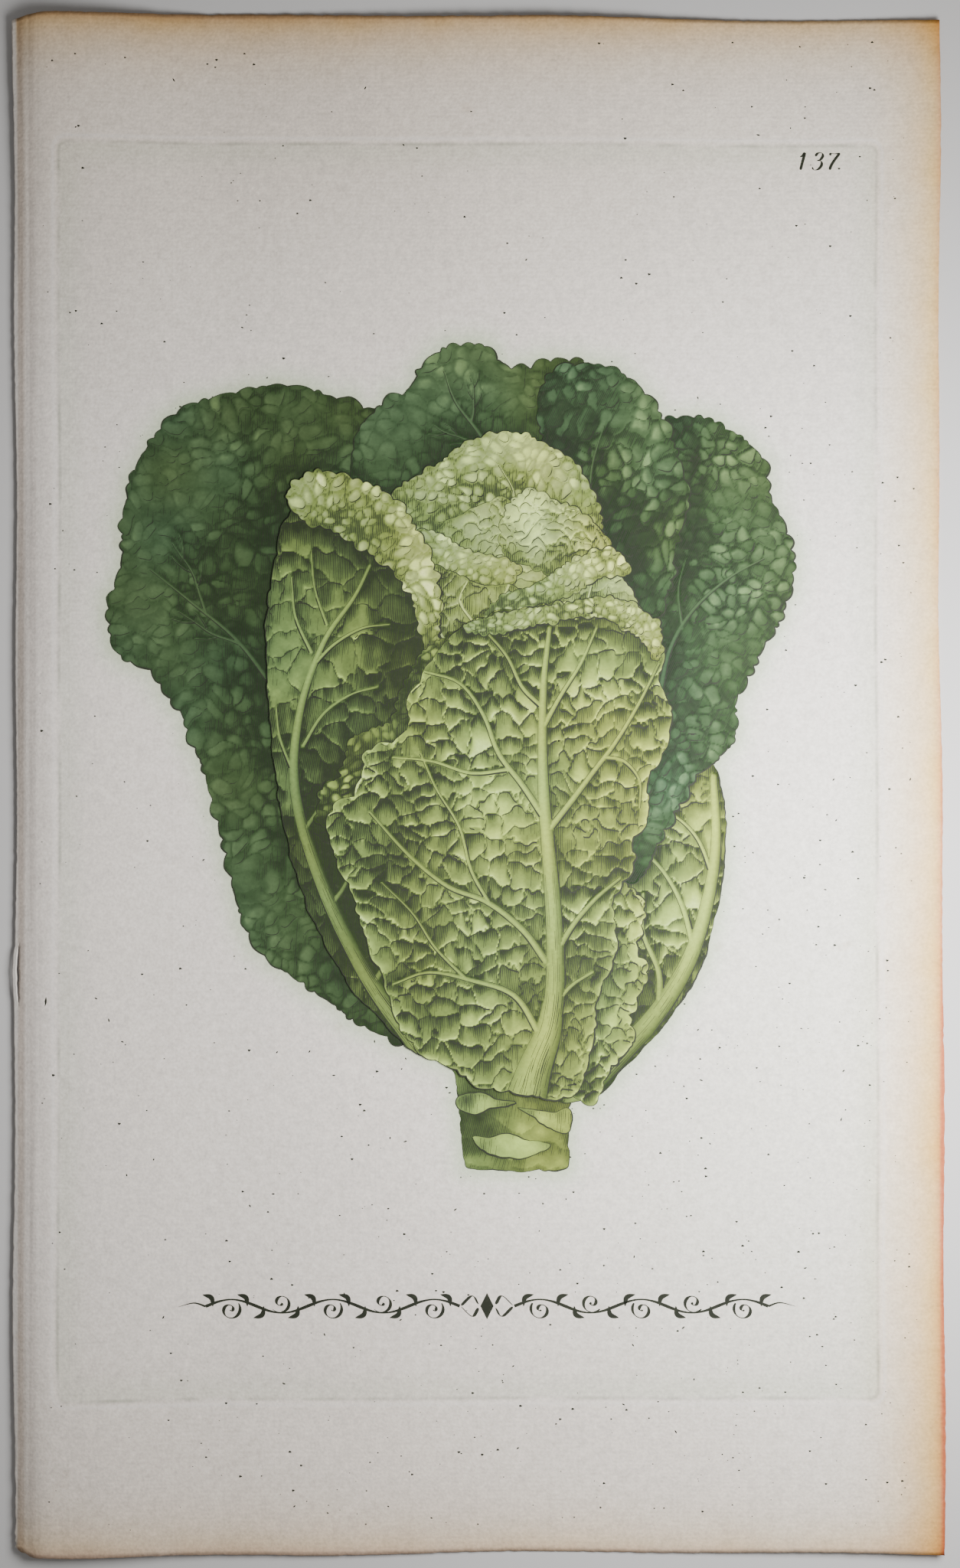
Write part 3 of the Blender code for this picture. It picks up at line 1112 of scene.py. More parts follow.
# The crown and the pale heart inside it
HEART = [
    PicturedLeaf(
        "crown_back_leaf", FROSTED,
        [
            (-26, 66), (-20, 76), (-10, 82), (-2, 88), (8, 90), (17, 87), (25, 81), (30, 72), (32, 62),
            (36, 52), (38, 42), (26, 30), (0, 30), (-20, 46),
        ],
        (2.8, 0.9), (3.0, 2.6), lean=12, cool=0.05, seed=61,
        ribs=[Rib([(6, 66), (9, 74), (5, 82)], 0.8, 0.3)],
        glows=[
            (8, 87, 8, 0.18), (22, 80, 8, 0.14), (-12, 74, 7, 0.04), (33, 56, 6, 0.18),
            (4, 72, 10, -0.14),
        ],
    ),
    PicturedLeaf(
        "heart_leaf", BLEACHED,
        [
            (-22, 54), (-14, 63), (-5, 69), (6, 73), (16, 72), (26, 68), (33, 60), (36, 48), (28, 34),
            (4, 32), (-14, 42),
        ],
        (4.0, 0.7), (4.4, 3.0), lean=24, weight=0.75, cool=-0.15, seed=71,
        glows=[
            (6, 64, 9, 0.22), (22, 62, 8, 0.1), (-14, 54, 7, -0.22), (30, 50, 6, -0.16),
            (12, 54, 6, 0.12),
        ],
    ),
    PicturedLeaf(
        "heart_knot", BLEACHED,
        [
            (7, 58), (6, 66), (9, 73), (14, 75), (20, 72), (27, 69), (33, 62), (35, 54), (29, 50),
            (21, 53), (14, 56),
        ],
        (2.8, 0.8), (3.6, 2.6), lean=-30, weight=0.85, cool=-0.3, seed=75,
        glows=[(12, 70, 5, 0.2), (26, 62, 6, 0.05), (20, 56, 5, -0.1)],
    ),
    PicturedLeaf(
        "heart_rolled_rim", FROSTED,
        [
            (-21, 60), (-16, 65), (-10, 64), (-3, 60), (4, 58), (10, 56), (8, 51), (0, 51), (-8, 54),
            (-14, 58),
        ],
        (2.4, 0.7), (2.7, 2.2), lean=20, weight=0.8, cool=0.05, seed=78,
        glows=[(-8, 61, 7, 0.22), (4, 56, 5, 0.1)],
    ),
    PicturedLeaf(
        "heart_wrap_leaf", BLEACHED,
        [
            (-16, 24), (-17, 38), (-16, 50), (-12, 56), (-6, 54), (2, 51), (9, 51), (14, 46), (12, 40),
            (22, 24), (0, 20),
        ],
        (4.5, 0.6), (6.4, 3.8), lean=30, cool=-0.15, seed=81,
        ribs=[
            Rib([(-14, 26), (-9, 34), (-2, 40), (5, 46), (8, 52)], 1.9, 0.7),
            Rib([(-8, 35), (-11, 42), (-11, 49)], 0.9, 0.4),
            Rib([(-1, 41), (-5, 47), (-3, 52)], 0.9, 0.4),
            Rib([(4, 45), (9, 46), (13, 46)], 0.9, 0.4),
        ],
        glows=[(0, 47, 6, 0.1), (-13, 34, 5, -0.14), (6, 38, 7, -0.2)],
    ),
    PicturedLeaf(
        "heart_right_wrap", BLEACHED,
        [
            (2, 36), (8, 44), (16, 49), (25, 55), (31, 57), (37, 52), (42, 44), (44, 34), (30, 28),
            (10, 28),
        ],
        (4.0, 0.6), (8.6, 4.0), lean=26, margin=0.1, weight=1.1, cool=-0.15, seed=85,
        ribs=[Rib([(20, 34), (26, 42), (29, 52)], 1.0, 0.5)],
        glows=[(34, 44, 8, 0.18), (12, 40, 7, -0.1)],
    ),
    PicturedLeaf(
        "heart_right_rim", FROSTED,
        [
            (2, 42), (6, 48), (14, 51), (22, 56), (30, 60), (36, 59), (38, 54), (31, 53), (24, 49),
            (16, 45), (9, 41),
        ],
        (2.2, 0.8), (2.6, 2.2), lean=28, weight=0.9, cool=0.05, seed=88,
        glows=[(20, 52, 7, 0.14), (34, 57, 4, 0.12)],
    ),
]

# The pale leaf that wraps the head's left side
LEFT_WRAPPER = [
    PicturedLeaf(
        "left_pale_leaf", SHADED,
        [
            (-46, 72), (-51, 60), (-54, 44), (-54, 24), (-52, 4), (-49, -14), (-44, -30), (-36, -46),
            (-26, -59), (-14, -69), (-4, -60), (-8, -30), (-10, 0), (-8, 26), (-14, 48), (-30, 70),
        ],
        (7, 0.5), (9.5, 6.6), lean=-8, cool=0.25, seed=91,
        ribs=[
            Rib(
                [(-14, -69), (-28, -50), (-40, -26), (-47, -2), (-46, 18), (-40, 36), (-32, 48), (-28, 56)],
                5.0, 0.8,
            ),
            Rib([(-45, 10), (-40, 18), (-33, 23), (-26, 25)], 1.1, 0.5),
            Rib([(-42, 31), (-37, 36), (-30, 40), (-23, 41)], 1.1, 0.5),
            Rib([(-48, 4), (-51, 12), (-52, 20)], 1.0, 0.5),
            Rib([(-43, 34), (-47, 43), (-48, 53)], 1.1, 0.5),
            Rib([(-39, 41), (-42, 50), (-43, 60)], 0.9, 0.4),
            Rib([(-38, -31), (-34, -25), (-33, -18)], 1.5, 0.6),
            Rib([(-45, -12), (-41, -6), (-38, 1)], 1.4, 0.6),
            Rib([(-27, -51), (-22, -42), (-20, -32)], 1.7, 0.8),
        ],
        glows=[
            (-50, 30, 7, 0.06), (-18, 34, 9, -0.16), (-32, -10, 10, -0.36), (-24, -36, 9, -0.42),
            (-34, 34, 9, 0.1),
        ],
    ),
    PicturedLeaf(
        "left_rolled_rim", BEADED,
        [
            (-49, 73), (-46, 78), (-40, 80), (-32, 78), (-25, 75), (-19, 69), (-14, 61), (-11, 52),
            (-10, 42), (-13, 32), (-15, 40), (-18, 50), (-23, 56), (-30, 61), (-37, 65), (-45, 68),
        ],
        (3.0, 1.0), (3.1, 2.8), lean=35, seed=101,
        glows=[
            (-43, 78, 4, 0.18), (-33, 76, 4, 0.14), (-20, 68, 4, 0.2), (-13, 54, 4, 0.2),
            (-36, 69, 5, -0.3), (-26, 64, 5, -0.34), (-19, 55, 3, -0.2),
        ],
    ),
]

# The broad front leaf, with its ruffle and rolled rim
FRONT_WRAPPER = [
    PicturedLeaf(
        "front_left_ruffle", RUFFLED,
        [
            (-4, 39), (-9, 37), (-14, 34), (-17, 29), (-20, 23), (-22, 16), (-27, 14), (-32, 12),
            (-34, 7), (-35, 2), (-39, 0), (-41, -5), (-40, -10), (-30, -8), (-24, 6), (-14, 18),
            (-8, 30),
        ],
        (2.4, 1.0), (2.7, 2.3), lean=30, seed=161,
        glows=[(-10, 34, 4, 0.1), (-27, 12, 4, 0.12), (-37, -2, 4, 0.1)],
    ),
    PicturedLeaf(
        "front_leaf", NETTED,
        [
            (-12, 32), (-4, 40), (8, 44), (20, 46), (32, 45), (42, 42), (47, 34), (46, 26), (49, 18),
            (47.5, 9), (43, 2), (43, -8), (39, -14), (39, -21), (34, -30), (35, -42), (30, -54),
            (29, -66), (24, -78), (17, -79.8), (6, -77.8), (-1, -75.4), (-6, -72.8), (-11, -70.2),
            (-16.5, -66.5), (-21.5, -58.5), (-25, -48), (-29, -38), (-32, -28), (-36, -20),
            (-38.5, -12), (-37, -6), (-32, -3), (-30, 3), (-28.5, 8), (-22, 11), (-18, 15), (-18, 21),
            (-15, 27),
        ],
        (4.8, 0.9), (5.8, 4.6), lean=6, margin=0.34, seed=141,
        ribs=[
            Rib(
                [
                    (12.4, -80), (14.6, -71), (18, -62), (19.4, -52), (19.4, -40), (18.4, -24),
                    (16.4, 0), (16.4, 24), (18, 40),
                ],
                6.2, 1.2,
            ),
            Rib([(12, -80.4), (14.3, -72.5), (17.6, -63.5), (19.2, -54)], 10.4, 4.8),
            Rib([(17, -45), (11, -37), (2, -30), (-8, -26), (-18, -18), (-28, -7)], 1.9, 0.7),
            Rib([(3, -31), (-2, -22), (-5, -11), (-11, -1), (-15, 8)], 1.1, 0.5),
            Rib([(17, -9), (11, 0), (5, 8), (1, 18), (-5, 26), (-14, 29)], 1.8, 0.7),
            Rib([(8, 4), (-2, 3), (-12, 6), (-22, 7)], 1.2, 0.6),
            Rib([(16, 20), (11, 25), (7, 33), (1, 40)], 1.3, 0.7),
            Rib([(15.6, -64), (9, -54), (-2, -50), (-13, -48), (-22, -51)], 1.9, 0.6),
            Rib([(-3, -50), (-11, -42), (-17, -33), (-25, -25)], 1.0, 0.45),
            Rib([(17.5, -12), (23, -5), (29, 3), (35, 11), (41, 21), (46, 31)], 1.8, 0.7),
            Rib([(32, 7), (37, 6), (41, 1), (41, -6)], 1.1, 0.5),
            Rib([(18, -46), (24, -36), (30, -29), (36, -24)], 1.9, 0.8),
            Rib([(16, 14), (21, 23), (26, 31), (30, 40)], 1.5, 0.6),
            Rib([(17, -60), (23, -52), (29, -48)], 1.5, 0.7),
        ],
        glows=[
            (4, -6, 14, 0.14), (28, 30, 12, 0.16), (-28, -24, 13, -0.2), (-12, -60, 12, -0.12),
            (34, -20, 7, -0.22), (4, -62, 10, 0.06), (28, -50, 7, -0.12),
        ],
    ),
    PicturedLeaf(
        "front_rolled_rim", BEADED,
        [
            (-4, 40), (3, 43), (12, 45), (22, 46), (31, 48), (40, 46), (46, 40), (46, 32), (43, 35),
            (38, 40), (29, 43), (16, 41.5), (5, 39),
        ],
        (2.0, 0.8), (2.3, 1.9), lean=-8, weight=1.1, seed=151,
        glows=[(6, 43, 5, -0.16), (18, 44, 5, -0.1), (32, 46, 5, 0.06), (44, 39, 5, -0.1)],
    ),
]

# Every leaf of the picture, from the back to the front
PLANT = [
    *STEM, *OUTER_BACK, *RIGHT_WRAPPER, *OUTER_RIGHT, *HEART, *LEFT_WRAPPER, *FRONT_WRAPPER,
]


# ---- Working out and printing the picture ----

PICTURE_LOW, PICTURE_HIGH = (-106, -108), (92, 124)
NOWHERE = 50.0  # further off than the shade of any rib reaches
SWAY_SIZE, CURL_SIZE, FRILL_SIZE = 9.0, 3.0, 1.5  # of the bends in the cells' borders
SWAY, FRILL = 2.4, 0.45
SEAM_WIDTH = 0.34
LIP_WIDTH = 0.9
BLISTER_LIGHT = np.array([-0.52, 0.66])  # the light comes from the left of the head
SHADOW_REACH = 6.5
SHADOW_DEPTH = 0.34
MARGIN_REACH = 1.3
RIB_SHADE, RIB_SHADE_REACH = 0.26, 1.6
COOL_SHIFT = np.array([-0.16, -0.02, 0.22])
MARGIN_SHADE = np.array([0.55, -0.83])  # the way that the shaded margins face
OUTLINE_LIFT, RIB_LIFT, CREASE_LIFT = 0.6, 0.4, 0.2  # films above the hatching
CREASE_LEVEL, CREASE_STEP, SHORTEST_CREASE = 0.34, 0.3, 1.6
THICK_RIB, GRAIN_LINES = 3.0, 9
HATCH_WIDTH = 0.54
HATCH_RANGE = 0.26  # from the tone where hatching begins to the tone where it is full
HATCH_STEP = 0.4
FINER = 0.35  # how much finer every second stroke is


class Picture:
    """Where every pictured leaf lies, worked out on a coarse board."""

    def __init__(self):
        self.board = Board(PICTURE_LOW, PICTURE_HIGH, 1.0)
        self.outlines = {}
        self.depths = {}
        for leaf in PLANT:
            bare = counter_clockwise(smooth_path(leaf.outline, 0.4, closed=True)[:-1])
            outline = lobed(bare, *leaf.lobes, leaf.seed)
            self.outlines[leaf.name] = outline
            self.depths[leaf.name] = depth_inside(self.board.spots, outline[::3])

    def depth(self, leaf, spots):
        return self.board.read(self.depths[leaf.name], spots)

    def cover(self, leaf, spots):
        """How deep each spot lies under the leaves in front, negative where it is bare."""
        later = PLANT[PLANT.index(leaf) + 1 :]
        depths = [self.depth(other, spots) for other in later]
        return np.max(depths, axis=0) if depths else np.full(len(spots), -1e3)

    def margin(self, spots):
        """Distance out from the whole picture, negative inside it."""
        return -np.max([self.depth(leaf, spots) for leaf in PLANT], axis=0)


class Worked:
    """One pictured leaf, worked out on its own fine board."""

    def __init__(self, picture, leaf, step):
        self.leaf = leaf
        self.picture = picture
        self.outline = picture.outlines[leaf.name]
        low, high = self.outline.min(0) - 2 * step, self.outline.max(0) + 2 * step
        self.board = Board(low, high, step)
        spots = self.board.spots
        self.depth = picture.depth(leaf, spots)
        self.cover = picture.cover(leaf, spots)
        self.moved = spots.copy()
        self._sharpen_margin(step)
        self.off_rib, self.across_rib = self._near_ribs()
        self.cells = self._crumple()
        self.domes = self._domes()
        self.tone = self._shade()

    def mottled(self, spots, size, number):
        """The leaf's own mottle, which is different for each number."""
        return mottle(spots, size, self.leaf.seed + number)

    def _sharpen_margin(self, step):
        """True depths near the outline, and the mesh's edge drawn onto it."""
        near = np.flatnonzero(np.abs(self.depth) < 1.6)
        spots = self.board.spots[near]
        exact = depth_inside(spots, self.outline)
        self.depth[near] = exact
        edge = near[(exact < 0) & (exact > -0.8 * step)]
        spots = self.board.spots[edge]
        starts, span = self.outline, np.roll(self.outline, -1, axis=0) - self.outline
        gap = spots[:, None] - starts[None]
        share = np.clip((gap * span).sum(2) / np.maximum((span**2).sum(1), 1e-9), 0, 1)
        away = gap - share[..., None] * span
        pick = (away**2).sum(2).argmin(1)
        self.moved[edge] = spots - away[np.arange(len(edge)), pick]

    def _near_ribs(self):
        """How far each spot is off the nearest rib, and how far across the rib it lies."""
        off, across = np.full(len(self.depth), NOWHERE), np.zeros(len(self.depth))
        if self.leaf.ribs:
            paths = [smooth_path(rib.points, 2.5) for rib in self.leaf.ribs]
            sized = zip(self.leaf.ribs, paths)
            widths = [np.linspace(rib.foot, rib.tip, len(path)) for rib, path in sized]
            starts = np.vstack([path[:-1] for path in paths])
            ends = np.vstack([path[1:] for path in paths])
            foot = np.concatenate([width[:-1] for width in widths])
            tip = np.concatenate([width[1:] for width in widths])
            seen = (self.depth > -1) & (self.cover < 2)
            off[seen], across[seen] = nearest(self.board.spots[seen], starts, ends, foot, tip)
        return off, across

    def _bends(self, size, number):
        """Bends across and along the leaf, from -1 to 1, in blotches of this size."""
        return np.column_stack([self.mottled(self.board.spots, size, number + n) for n in (0, 1)])

    def _crumple(self):
        """The cells of the crumpled surface, with borders that bend and curl."""
        leaf = self.leaf
        curled = self._bends(CURL_SIZE, 7) + FRILL * self._bends(FRILL_SIZE, 17)
        bent = self.board.spots + SWAY * self._bends(SWAY_SIZE, 5) + leaf.look.curl * curled
        right = heading(leaf.lean)
        upright = np.array([[right[0], -right[1]], [right[1], right[0]]])
        return cells_at(bent @ upright, np.array(leaf.cell), leaf.seed)

    def _domes(self):
        """How far each spot stands up in its cell's round dome, from 0 to 1."""
        out = np.hypot(*self.cells.offset.T) * (1 - 0.25 * (self.cells.lot - 0.5))
        return ease(1.58 - 2.45 * out) * ease(self.cells.border / 0.4)

    def _relief(self):
        """How much lighter or darker the cells' domes and ledges make the leaf."""
        look, cells, board = self.leaf.look, self.cells, self.board
        lot = cells.lot - 0.5
        across, along = (cells.offset * BLISTER_LIGHT).T
        dome = self.domes * (0.68 + along + across + 0.85 * lot) - 0.36
        seam = np.exp(-((cells.border / SEAM_WIDTH) ** 2))
        slope = board.slopes(cells.border)
        drop = self.leaf.cell[1] * (0.36 + 0.40 * cells.lot)
        under = board.hung(seam * np.clip(0.35 - 0.95 * slope, 0, 1), drop, -1)
        lip = np.full(len(board.spots), LIP_WIDTH)
        above = board.hung(seam * np.clip(0.25 + 0.95 * slope, 0, 1), lip, 1)
        worn = np.clip(0.6 + 0.9 * self.mottled(board.spots, 4.5, 19), 0.15, 1)
        ledge = 0.25 - (1.02 + 1.0 * lot) * under + worn * (0.38 * above + 0.24 * seam) + 0.50 * lot
        return look.domes * dome + look.ledges * ledge

    def _shade(self):
        """The tone of the leaf, from 0, darkest, to 1."""
        leaf, look, spots = self.leaf, self.leaf.look, self.board.spots
        firm = np.clip(0.70 + 0.75 * self.mottled(spots, 12, 2), 0.25, 1.2)
        tone = look.ground + (0.35 + 0.65 * firm) * self._relief()
        glow = np.zeros(len(spots))
        for x, y, reach, amount in leaf.glows:
            glow += amount * np.exp(-((spots[:, 0] - x) ** 2 + (spots[:, 1] - y) ** 2) / (2 * reach**2))
        shadow = SHADOW_DEPTH * np.exp(-np.maximum(-self.cover, 0) / SHADOW_REACH)
        edge = leaf.margin * np.exp(-np.maximum(self.depth, 0) / MARGIN_REACH)
        uneven = 0.10 * self.mottled(spots, 2.6, 9) + 0.08 * self.mottled(spots, 14, 10)
        tone = tone + glow - shadow + edge + uneven
        ribs = look.ground - 0.45 + self._rounded_ribs() + 0.5 * glow - 0.35 * shadow
        return np.clip(self._ribbed(tone, ribs), 0, 1)

    def _rounded_ribs(self):
        """The light on a rib, which is round and lit from its left."""
        return 0.63 + 0.14 * self.across_rib - 0.30 * self.across_rib**2

    def _ribbed(self, tone, ribs):
        """The leaf's tones with the ribs laid over them, and a shade beside each rib."""
        rib = ease(0.5 - self.off_rib / 0.4)
        beside = np.exp(-np.maximum(self.off_rib, 0) / RIB_SHADE_REACH)
        beside = beside * np.clip(0.6 - 0.4 * np.sign(self.across_rib), 0, 1)
        tone = tone - RIB_SHADE * beside * (1 - rib)
        return tone + rib * (ribs - tone)

    def wash(self, level, paper, colours, material):
        """The film of watercolour that covers the leaf."""
        quads = self.board.quads()
        inside = self.depth > -0.8 * self.board.step
        seen = self.cover < 1.2
        quads = quads[inside[quads].all(1) & seen[quads].any(1)]
        kept, faces = np.unique(quads, return_inverse=True)
        places = on_paper(self.moved[kept], level, paper)
        piece = mesh_object(f"wash_{self.leaf.name}", places, faces.reshape(-1, 4), material)
        stops = np.linspace(0, 1, len(colours))
        tint = np.column_stack([np.interp(self.tone[kept], stops, channel) for channel in zip(*colours)])
        spots = self.board.spots[kept]
        left, right = spots[:, 0].min(), spots[:, 0].max()
        leftness = (left + right - 2 * spots[:, 0]) / (right - left)
        cool = self.leaf.cool + 0.5 * self.mottled(spots, 16, 16) + 0.45 * leftness
        store(piece, "tint", tint * np.exp(cool[:, None] * COOL_SHIFT))
        return settle(piece)

    def bare_at(self, path):
        """Where a path lies on the leaf and no other leaf covers it."""
        covered = self.picture.cover(self.leaf, path) >= 0.3
        return ~covered & (self.picture.depth(self.leaf, path) > 0.15)

    def clear_at(self, path, depth, off_rib):
        """Where a path is this far inside the margin and this far off the ribs."""
        inside = self.board.read(self.depth, path) > depth
        return inside & (self.board.read(self.off_rib, path) > off_rib)

    def ink_outline(self, strokes, width):
        """A line round the margin: heavy low on the right, broken where the light falls."""
        path = np.vstack([self.outline, self.outline[:1]])
        outward = -leftward(path)
        shaded = 0.5 + 0.5 * (outward @ MARGIN_SHADE)
        pressure = 0.80 + 0.55 * self.mottled(path, 5, 12)
        bare = self.picture.cover(self.leaf, path) < 0.2
        strokes.draw(path, width * (0.50 + 0.75 * shaded) * pressure * bare, OUTLINE_LIFT)

    def ink_ribs(self, strokes, width):
        """A line down each side of a rib, heavier on the shaded one."""
        for rib in self.leaf.ribs:
            path = smooth_path(rib.points, 0.5)
            half = np.linspace(rib.foot, rib.tip, len(path)) / 2
            side = leftward(path)
            firm = 0.75 if rib.foot < 1 else 1.0
            for sign in (1, -1):
                edge = path + sign * side * half[:, None]
                lower = 0.75 - 0.35 * np.sign(sign * side[:, 1] - 0.3 * sign * side[:, 0])
                clear = (self.board.read(self.off_rib, edge) > -0.12) & self.bare_at(edge)
                pressure = 0.85 + 0.45 * self.mottled(edge, 4, 13)
                fade = np.linspace(1, 0.45, len(path))
                strokes.draw(edge, width * firm * lower * pressure * fade * clear, RIB_LIFT)
            if rib.foot > THICK_RIB:
                self._ink_grain(strokes, path, half, side, width)

    def _ink_grain(self, strokes, path, half, side, width):
        """Long fine lines that run up a thick rib from its foot."""
        for number, place in enumerate(np.linspace(-0.8, 0.75, GRAIN_LINES)):
            line = path + side * (half * place)[:, None]
            reach = np.linspace(1, -0.6 + 0.5 * abs(place), len(path))
            broken = 0.5 + 0.9 * self.mottled(line + 40 * number, 4, 14)
            weight = 0.34 + 0.25 * (place < 0)
            strokes.draw(line, width * weight * np.clip(reach * broken, 0, 1) * self.bare_at(line))

    def ink_cells(self, strokes, width):
        """The creases: a line under each ledge's lip, or a crescent at the foot of each blister."""
        look, read = self.leaf.look, self.board.read
        crumple = self.domes if look.domes else self.cells.border
        crumple = np.where((self.depth > 0.4) & (self.off_rib > 0.5), crumple, -0.5)
        for path in self.board.contours(crumple, CREASE_LEVEL, SHORTEST_CREASE):
            path = even_steps(path, CREASE_STEP)
            left = leftward(path)
            climbs = read(crumple, path + 0.5 * left) > read(crumple, path - 0.5 * left)
            right, up = np.where(climbs[:, None], left, -left).T
            if look.domes:
                facing = 0.05 + 0.85 * up - 0.50 * right
                pressure = 0.50 + 1.00 * self.mottled(path, 3.2, 15)
            else:
                facing = 0.32 - 0.90 * up + 0.15 * right
                pressure = 0.90 + 0.65 * self.mottled(path, 4.5, 15)
            weight = width * look.creases * np.clip(facing, 0, 1) * np.clip(pressure, 0, 1.3)
            clear = self.clear_at(path, 0.5, 0.6) & self.bare_at(path)
            strokes.draw(path, weight * clear, CREASE_LIFT)

    def hatch(self, strokes, width, pitch):
        """Parallel strokes that swell as the tone falls, with finer ones between in the depths."""
        along = heading(self.leaf.strokes)
        across = np.array([-along[1], along[0]])
        low, high = self.outline.min(0), self.outline.max(0)
        middle, reach = (low + high) / 2, np.hypot(*(high - low)) / 2
        run = np.arange(-reach, reach, HATCH_STEP)
        full = self.leaf.look.hatch - HATCH_RANGE
        chance = np.random.default_rng(self.leaf.seed)
        for number, lane in enumerate(np.arange(-reach, reach, pitch / 2)):
            finer = FINER * (number % 2)
            path = middle + run[:, None] * along + (lane + chance.uniform(-0.07, 0.07) * pitch) * across
            path = path + across * (1.2 * self.mottled(path, 22, 0))[:, None]
            inside = (self.picture.depth(self.leaf, path) > -0.5).nonzero()[0]
            if len(inside) < 2:
                continue
            path = path[inside[0] : inside[-1] + 1]
            grid = np.column_stack([path @ along / 3.2, path @ across / pitch * 1.7])
            start = self.leaf.look.hatch - HATCH_RANGE * (number % 2) + 0.13 * self.mottled(grid, 1, 3)
            darkness = (start - self.board.read(self.tone, path)) / (self.leaf.look.hatch - full)
            clear = self.clear_at(path, 0.2, 0.15) & self.bare_at(path)
            strokes.draw(path, width * np.clip(darkness, 0, 1) * (1 - finer) * clear)

    def inked(self, level, paper, setting, material):
        """All the ink of the leaf as one piece."""
        strokes = Strokes()
        width = setting.line_width / MM * self.leaf.weight
        fine = self.leaf.look.fine
        self.ink_outline(strokes, width)
        self.ink_ribs(strokes, width)
        self.ink_cells(strokes, width)
        self.hatch(strokes, width * HATCH_WIDTH * fine, setting.hatch_pitch / MM * fine)
        return strokes.piece(f"ink_{self.leaf.name}", level, paper, material)


# ---- The leaf of paper ----

SLIT_INSET, SLIT_GAP = 1.1, 0.2
SLIT_TAIL, SLIT_HEAD = -55.0, -41.0
STRIP_LIFT, STRIP_BOW = 0.25, 0.45  # of the strip of paper between the slit and the edge
BLEED_REACH = 8.0


def roughened(x, y, deckle):
    """The cut edges: fibrous all round, with both left corners worn and the tail's frayed."""
    spots = np.column_stack([x, y])
    rough = 0.6 * mottle(spots, 1.3, 301) + 0.4 * mottle(spots, 4.5, 302)
    fray = 1 + 3.5 * np.exp(-np.hypot(x + LEAF_WIDTH / 2, y + LEAF_HEIGHT / 2) / 9)
    across = np.abs(x) / (LEAF_WIDTH / 2)
    along = np.abs(y) / (LEAF_HEIGHT / 2)
    moved_x = x - np.sign(x) * across**40 * np.abs(rough) * deckle * fray * 2
    moved_y = y - np.sign(y) * along**40 * np.abs(rough) * deckle * fray * 2
    for side, reach, drop in ((1, 9.0, 1.7), (-1, 6.5, 2.0)):
        worn = np.clip(1 - (x + LEAF_WIDTH / 2) / reach, 0, 1) ** 1.5
        moved_y = moved_y - side * drop * worn * along**24 * (side * y > 0)
    return moved_x, moved_y


def paper_leaf(paper, picture, material):
    """The leaf itself, with the plate mark, the gutter's curl and a slit near the left edge."""
    step = paper.mesh_step / MM
    slit_x = -LEAF_WIDTH / 2 + SLIT_INSET
    fine = np.r_[0, 0.25, 0.55, 0.85, SLIT_INSET, SLIT_INSET + SLIT_GAP] - LEAF_WIDTH / 2
    wide = np.linspace(fine[-1] + 0.5, LEAF_WIDTH / 2 - 0.3, round(LEAF_WIDTH / step))
    columns = np.r_[fine, wide, LEAF_WIDTH / 2]
    rows = np.linspace(-LEAF_HEIGHT / 2, LEAF_HEIGHT / 2, round(LEAF_HEIGHT / step))
    x, y = [part.ravel() for part in np.meshgrid(columns, rows)]
    loose = (x <= slit_x) & (y > SLIT_TAIL) & (y < SLIT_HEAD)
    share = np.clip((y - SLIT_TAIL) / (SLIT_HEAD - SLIT_TAIL), 0, 1)
    flat_x, flat_y = roughened(*trimmed(x, y), paper.deckle / MM)
    height = underside(x, y, paper.plate_depth / MM, paper.plate_bevel / MM)
    height = height + np.where(loose, STRIP_LIFT * np.sin(np.pi * share), 0)
    flat_x = flat_x - np.where(loose, STRIP_BOW * np.sin(np.pi * share) ** 0.8, 0)
    places = np.column_stack([flat_x - MIDDLE[0], flat_y - MIDDLE[1], height]) * MM
    quads = grid_quads(len(rows), len(columns))
    middle_x, middle_y = np.column_stack([x, y])[quads].mean(1).T
    slit = np.abs(middle_x - slit_x - SLIT_GAP / 2) < SLIT_GAP / 2
    slit &= (middle_y > SLIT_TAIL) & (middle_y < SLIT_HEAD)
    leaf = mesh_object("paper_leaf_print", places, quads[~slit], material)
    spots = np.column_stack([x, y]) - MIDDLE
    store(leaf, "plate", outside_plate(x, y) * MM)
    margin = picture.margin(spots)
    on_board = (spots > PICTURE_LOW).all(1) & (spots < PICTURE_HIGH).all(1)
    store(leaf, "bleed", np.where(on_board, ease(1 - margin / BLEED_REACH), 0))
    leaf.data.shade_smooth()
    thick = leaf.modifiers.new("paper thickness", "SOLIDIFY")
    thick.thickness = paper.thickness
    thick.offset = 1
    return settle(leaf)


# ---- Ornaments and flecks ----

RULE_MIDDLE = (2.0, -133.5)
RULE_SCROLLS = 5
RULE_PITCH = 13.0
RULE_GAP = 7.0
LOZENGE = 3.4
PEN_WIDTH = 0.85
FINE_LINE = 0.22
NUMBER = "137"
NUMBER_PLACE = (81.0, 157.4)
NUMBER_HEIGHT = 4.4
NUMBER_PITCH = 3.9
NUMBER_SLOPE = 0.22
NUMBER_WIDTH = 0.72
POINT_WIDTH = 0.7
HAIRLINE = 0.16
FLECKS = 2100
FLECK_SEED = 77
FLECK_REACH = (112, 190)
DASH_SHARE = 0.10
FIBRE = [(-111.2, -57.0), (-110.6, -55.6), (-110.4, -54.2)]


def pen(path, full, thin):
    """The width of a broad pen along a path: thick on the downstrokes, thin across."""
    slant = np.abs(leftward(path) @ np.array([-0.94, 0.35])) ** 1.5
    ends = np.minimum(np.arange(len(path)), np.arange(len(path))[::-1]) / 5
    return np.maximum(thin, full * slant) * np.clip(0.5 + ends, 0, 1)


